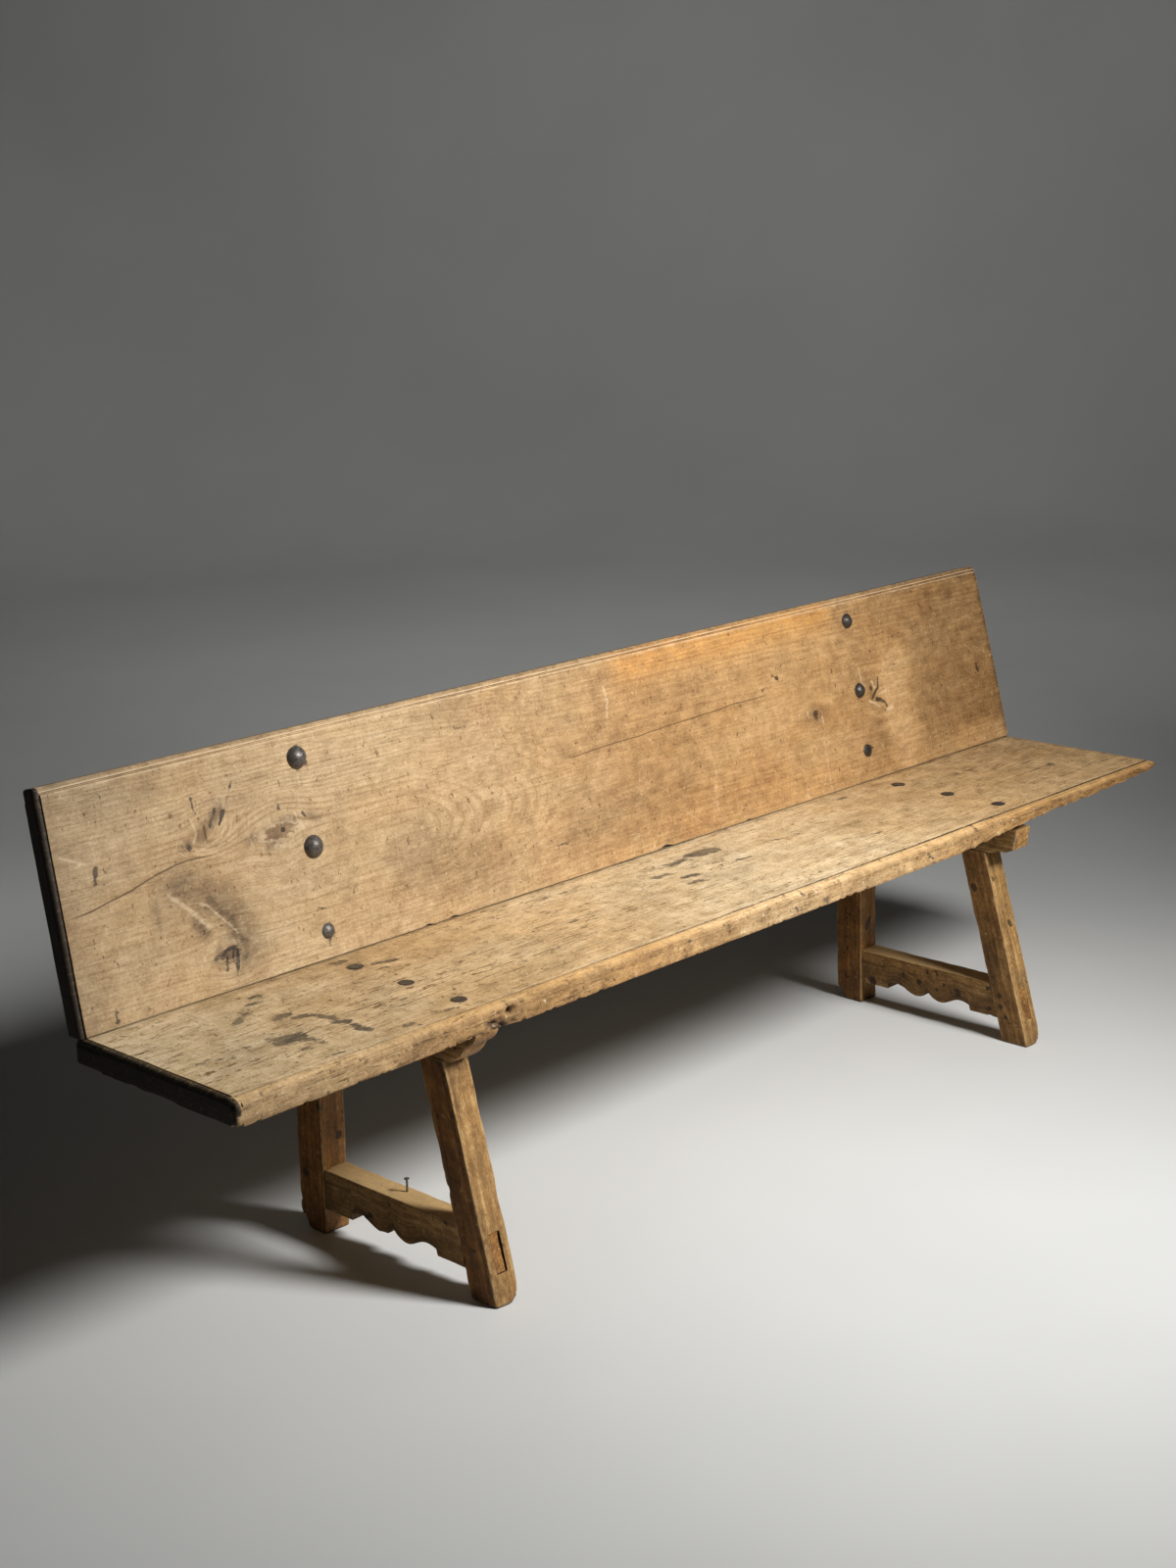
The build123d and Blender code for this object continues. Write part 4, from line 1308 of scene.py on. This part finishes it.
def scallop(place):
    """How far a stretcher's lower edge rises, at a distance from its middle: lobes, arches and a cusp."""
    away = np.abs(place)
    inner = arc_drop(scallop_lobe - away, scallop_lobe, scallop_rise)
    between = scallop_rise * smooth(away, scallop_lobe, scallop_arch)
    outer = arc_drop(away - scallop_arch, scallop_end - scallop_arch, scallop_rise - scallop_end_rise)
    return np.where(away < scallop_lobe, inner, np.where(away <= scallop_end, between - outer, 0))


def stretcher_grid(side, body_front, length):
    """Points and faces of a stretcher's body, with its front tenon, from the body's front."""
    tenon_tip = leg_depth - tenon_recess[side]
    cheek = tenon_width / 2
    shoulder_low, shoulder_high = stretcher_bottom + tenon_shoulder, stretcher_top - tenon_shoulder
    xs = stations(-stretcher_width / 2, stretcher_width / 2, 4.0, 2.5, (-cheek, cheek))
    bends = np.array([-97.2, -97, -4, -2, -1, 0, 1, 2, 4, 97, 97.2])
    body = stations(0, length, 3.0, 2.5, (body_front + post_front) / 2 - body_front + bends)
    ys = np.union1d(body, stations(-tenon_tip, 0, 6.0, 2.0))
    zs = stations(stretcher_bottom, stretcher_top, 4.0, 2.5, (shoulder_low, shoulder_high))
    cx, cy, cz = middles(xs, ys, zs)
    solid = (cy > 0) | ((abs(cx) < cheek) & (cz > shoulder_low) & (cz < shoulder_high))
    return surface(xs, ys, zs, solid)


def stretcher(side, x, seed, knots):
    body_front = leg_front(stretcher_bottom) + leg_depth
    length = post_front - body_front
    height = stretcher_top - stretcher_bottom
    nominal, faces = stretcher_grid(side, body_front, length)
    lx, ly, lz = nominal.T
    body = ly > 0
    low = np.array([-stretcher_width / 2, 0, stretcher_bottom])
    high = np.array([stretcher_width / 2, length, stretcher_top])
    worn = rounded(nominal, low, high, worn_radius(nominal, 1.8, 6, seed))
    points = np.where(body[:, None], worn, nominal)
    sink(points, nominal, low, high, dips(nominal, (45, 45, 45), seed + 2, 1.2) * body, (0, 2))
    # the scalloped lower edge, the rake of the front leg and the rough end of the tenon
    place = body_front + ly - (body_front + post_front) / 2
    rise = np.where(body, scallop(place), 0) * (stretcher_top - points[:, 2]) / height
    points[:, 2] += rise
    rake = leg_slope * (points[:, 2] - stretcher_bottom)
    share = np.where(body, 1 - points[:, 1] / length, 1)
    tip = ly < tenon_recess[side] - leg_depth + 3
    rough = 1.2 * ripple(nominal, (4, 60, 9), seed + 6) * tip
    points[:, 1] += body_front + rake * share + np.clip(rough, 0, 1.5)
    points[:, 0] += x - np.where(body, 0, 0.45 * mortise_gaps[side])
    side_place = np.stack([body_front + ly, lz], 1)
    stain = blotches(nominal, seed)
    ring = np.hypot(lx - 30, lz - 20) + 2 * ripple(nominal, (40, 300, 40), seed + 3)
    for knot in knots:
        ring = ring + 9 * near_line(side_place, knot, knot, 14)
        stain = largest(stain, near_line(side_place, knot, knot, 6))
    joint = largest(smooth(ly, 5, 0), smooth(ly, length - 5, length)) * body
    rub = 0.7 * np.exp(-edge_gap(nominal, low, high) / 6)
    # Painted light makes the top face pale, and painted shade darkens the sides below it, more on the right
    # stretcher
    dim = 0.4 if side == "left" else 0.6
    fields = {
        "grain": timber_grain(nominal, along_y, seed),
        "ring": ring,
        "wear_and_highlight": largest(rub, 0.95 * (lz > stretcher_top - 0.5)) * body,
        "grime_and_shade": largest(0.6 * joint, 0.55 * smooth(lz - rise, 46, 40) * body),
        "stain": stain,
        "warm": np.where(ly < -40, 0.7, 0.15),
        "shade": np.clip(dim * smooth(lz, stretcher_top - 1, 60), 0, 1),
    }
    make_timber(f"{side}_stretcher", points, faces, fields)


# Pegs, and nails with hammered heads
def pegs(node, x, places, seed):
    """Pegs along X, at (depth, height, half length) places."""
    bevel, tip_radius = 0.7, 3.6
    parts = []
    for number, (y, z, reach) in enumerate(places):
        half = ((0, reach), (tip_radius, reach), (peg_radius, reach - bevel))
        profile = [(radius, -height) for radius, height in half] + list(half[::-1])
        points, faces = lathe(profile, 11)
        shrink = 0.07 * clouds(points, (5, 5, 60), seed + number)
        points[:, :2] *= (1 - shrink)[:, None]
        parts.append((points[:, [2, 0, 1]] + (x, y, z), faces))
    points, faces = joined(parts)
    fields = {
        "grain": points * MM + (grain_step * seed, 0, 0),
        "ring": np.hypot(points[:, 1], points[:, 2]),
        "grime_and_shade": np.full(len(points), 0.25),
    }
    make_piece(f"worn_{node}", points, faces, "peg_wood", node, fields)


def flat_profile(radius, height):
    """A flat head with a worn rim and a shallow dip, sunk a little into the wood."""
    rim = ((0.9, -0.8), (1, 0.2), (1, height - 0.7), (0.93, height - 0.15))
    top = ((0.6, height), (0.3, height - 0.1), (0, height - 0.1))
    return [(share * radius, level) for share, level in ((0, -0.8), *rim, *top)]


def dome_profile(radius, height):
    """A round cap, sunk a little into the wood."""
    cap = (radius**2 + height**2) / (2 * height)
    turn = np.linspace(math.asin(min(1, radius / cap)), 0, 9)[:-1]
    dome = [(math.sin(a) * cap, height - cap + cap * math.cos(a)) for a in turn]
    return [(0, -0.8), (0.94 * radius, -0.8), *dome, (0, height)]


def forged_head(profile, radius, height, seed):
    """A nail's head, uneven from the hammer, on its own axis."""
    points, faces = lathe(profile(radius, height), 28)
    outline = 1 - 0.03 * np.clip(0.5 + ripple(points[:, :2], (radius, radius), seed), 0, 1.6)
    points[:, :2] *= outline[:, None]
    hammer = np.clip(0.5 + 0.7 * ripple(points, radius * 0.45, seed + 1), 0, 1.2)
    points[:, 2] -= np.where(points[:, 2] > 0.5, hammer * min(0.7, 0.07 * height + 0.15), 0)
    return points, faces


def make_iron(name, node, parts, dark):
    points, faces = joined(parts)
    fields = {"grain": points * MM, "shade": np.full(len(points), dark)}
    make_piece(name, points, faces, "forged_iron", node, fields)


def back_nails(node, places, radius, height, seed, dark):
    parts = []
    for number, (x, rise) in enumerate(places):
        points, faces = forged_head(dome_profile, radius, height, seed + 7 * number)
        placed = np.stack([points[:, 0] + x, -points[:, 2], points[:, 1] + rise], 1)
        parts.append((from_back(placed), faces))
    make_iron(f"forged_{node}", node, parts, dark)


def seat_nails(node, x, seed):
    radius, height, dark = 13.0, 1.0, 0.45
    parts = []
    for number, place in enumerate(seat_nail_places):
        points, faces = forged_head(flat_profile, radius, height, seed + 7 * number)
        parts.append((points + (x, seat_front + place, seat_top), faces))
    make_iron(f"forged_{node}", node, parts, dark)


def loose_nail():
    """A thin nail left standing on the left stretcher, a little bent."""
    shank, head, proud, hold, offset = 1.75, 4.5, 22.0, 6.0, 8.0
    profile = [(0, -hold), *((shank, height) for height in np.linspace(-hold, proud - 2.2, 8))]
    profile += [(head * 0.8, proud - 2), (head, proud - 1.4), (head, proud - 0.6)]
    profile += [(head * 0.7, proud), (0, proud)]
    points, faces = lathe(profile, 12)
    points[:, 0] += 0.5 * np.sin(np.clip(points[:, 2], 0, proud) / proud * math.pi)
    points[:, :2] *= 0.99
    middle = (leg_front(stretcher_bottom) + leg_depth + post_front) / 2
    points += (-trestle + offset, middle, stretcher_top)
    make_iron("bent_loose_nail", "stretcher_loose_nail", [(points, faces)], 0.0)


# The two trestles, and what differs between them: radius and height of nail heads, darker iron and painted
# shade of the back nails, and marks
trestles = (("left", -trestle, left_seed), ("right", trestle, right_seed))
dome_sizes = {"left": (18.5, 12.0), "right": (15.0, 9.0)}
small_sizes = {"left": (12.5, 5.0), "right": (12.5, 2.8)}
# The right back nails are darker iron with painted shade, where the light falls off towards the right
back_nail_dark_iron_and_shade = {"left": 0.0, "right": 0.6}
stretcher_knots = {"left": (), "right": ((-6, 71), (-47, 65), (-30, 95))}
leg_marks = {"left": (), "right": ((38, 88), (41, 66), (34, 49))}
stretcher_middle = (stretcher_bottom + stretcher_top) / 2
batten_middle = (batten_bottom + underside) / 2
leg_tenon_middle = batten_bottom + 19.0


def trestle_pegs(side, x, seed):
    """Pegs through the tenons of a leg and a post, at the stretcher and at the batten."""
    rear_y, half = post_front + blind_tenon / 2, leg_width / 2
    low_y, high_y = (leg_front(height) + leg_depth / 2 for height in (stretcher_middle, leg_tenon_middle))
    low = ((low_y, stretcher_middle, half), (rear_y, stretcher_middle, half))
    high = ((high_y, leg_tenon_middle, batten_width / 2), (rear_y, batten_middle, half))
    pegs(f"{side}_stretcher_pegs", x, low, seed + 40)
    pegs(f"{side}_batten_pegs", x, high, seed + 50)


seat_plank()
back_plank()
for side, x, seed in trestles:
    front_leg(side, x, seed, leg_marks[side])
    rear_post(side, x, seed + 10)
    seat_batten(side, x, seed + 20)
    stretcher(side, x, seed + 30, stretcher_knots[side])
    trestle_pegs(side, x, seed)
    lowest, *domed = back_nail_places(side, x)
    dark = back_nail_dark_iron_and_shade[side]
    back_nails(f"{side}_dome_nails", domed, *dome_sizes[side], seed + 60, dark)
    back_nails(f"{side}_small_back_nail", [lowest], *small_sizes[side], seed + 70, 1.4 * dark)
    seat_nails(f"{side}_seat_nails", x, seed + 80)
loose_nail()


# Camera at the photograph's viewing angle
camera_place = Vector((-2920.2, -2612.6, 1634.7)) * MM
camera_yaw, camera_pitch, camera_roll = (math.radians(angle) for angle in (45.908, -11.499, -1.566))
focal_pixels = 2449.3
image_height = 1600
horizon_shift = -0.0857


def add_camera():
    data = bpy.data.cameras.new("camera")
    data.lens = focal_pixels / image_height * data.sensor_width
    data.shift_y = horizon_shift
    camera = bpy.data.objects.new("camera", data)
    bpy.context.scene.collection.objects.link(camera)
    turn = Matrix.Rotation(-camera_yaw, 4, "Z") @ Matrix.Rotation(math.pi / 2 + camera_pitch, 4, "X")
    camera.matrix_world = Matrix.Translation(camera_place) @ turn @ Matrix.Rotation(camera_roll, 4, "Z")
    bpy.context.scene.camera = camera


# Studio: a pale floor and wall, a soft key light in front, one for the wall, a weak one behind
def add_light(name, place, target, size, power, spread):
    data = bpy.data.lights.new(name, "AREA")
    data.spread = math.radians(spread)
    data.shape = "DISK"
    data.size = size
    data.energy = power
    light = bpy.data.objects.new(name, data)
    bpy.context.scene.collection.objects.link(light)
    way = Vector(target) - Vector(place)
    light.matrix_world = Matrix.Translation(place) @ way.to_track_quat("-Z", "Y").to_matrix().to_4x4()


def add_studio():
    """A pale floor that curves up, far away, into a plain round wall."""
    floor_radius, sweep, wall_height, sides = 6.0, 1.5, 6.0, 96
    turn = np.linspace(0, math.pi / 2, 9)
    profile = [(0, 0), *((r, 0) for r in np.linspace(0.5, floor_radius, 8))]
    profile += [(floor_radius + sweep * math.sin(a), sweep - sweep * math.cos(a)) for a in turn[1:]]
    profile += [(floor_radius + sweep, wall_height), (0, wall_height)]
    points, faces = lathe(profile, sides)
    mesh = bpy.data.meshes.new("studio")
    mesh.from_pydata(points.tolist(), [], faces[:-sides])
    mesh.polygons.foreach_set("use_smooth", np.ones(len(mesh.polygons), bool))
    s = Shader("pale_floor")
    place = s.node("TexCoord").outputs["Object"]
    colour = s.ramp(s.noise(place, (0.8, 0.8, 0.8), 3), (0.3, (0.64, 0.64, 0.62)), (0.7, (0.7, 0.7, 0.68)))
    s.put(s.surface.inputs["Base Color"], colour)
    s.put(s.surface.inputs["Roughness"], 0.75)
    mesh.materials.append(s.material)
    studio = bpy.data.objects.new("studio", mesh)
    bpy.context.scene.collection.objects.link(studio)


add_camera()
add_studio()
add_light("key", (0.5, -2.25, 2.24), (-0.27, 0.2, 0.4), size=0.8, power=42, spread=95)
add_light("backdrop", (1.8, 1.9, 3.4), (5.6, 4.0, 0.5), size=1.5, power=31, spread=150)
add_light("rear", (0.6, 2.6, 0.95), (0.0, 0.3, 0.6), size=0.8, power=0.3, spread=70)
world = bpy.data.worlds.new("studio")
world.use_nodes = True
world.node_tree.nodes["Background"].inputs["Color"].default_value = (0.003, 0.003, 0.0029, 1)
bpy.context.scene.world = world
bpy.context.scene.view_settings.view_transform = "Standard"
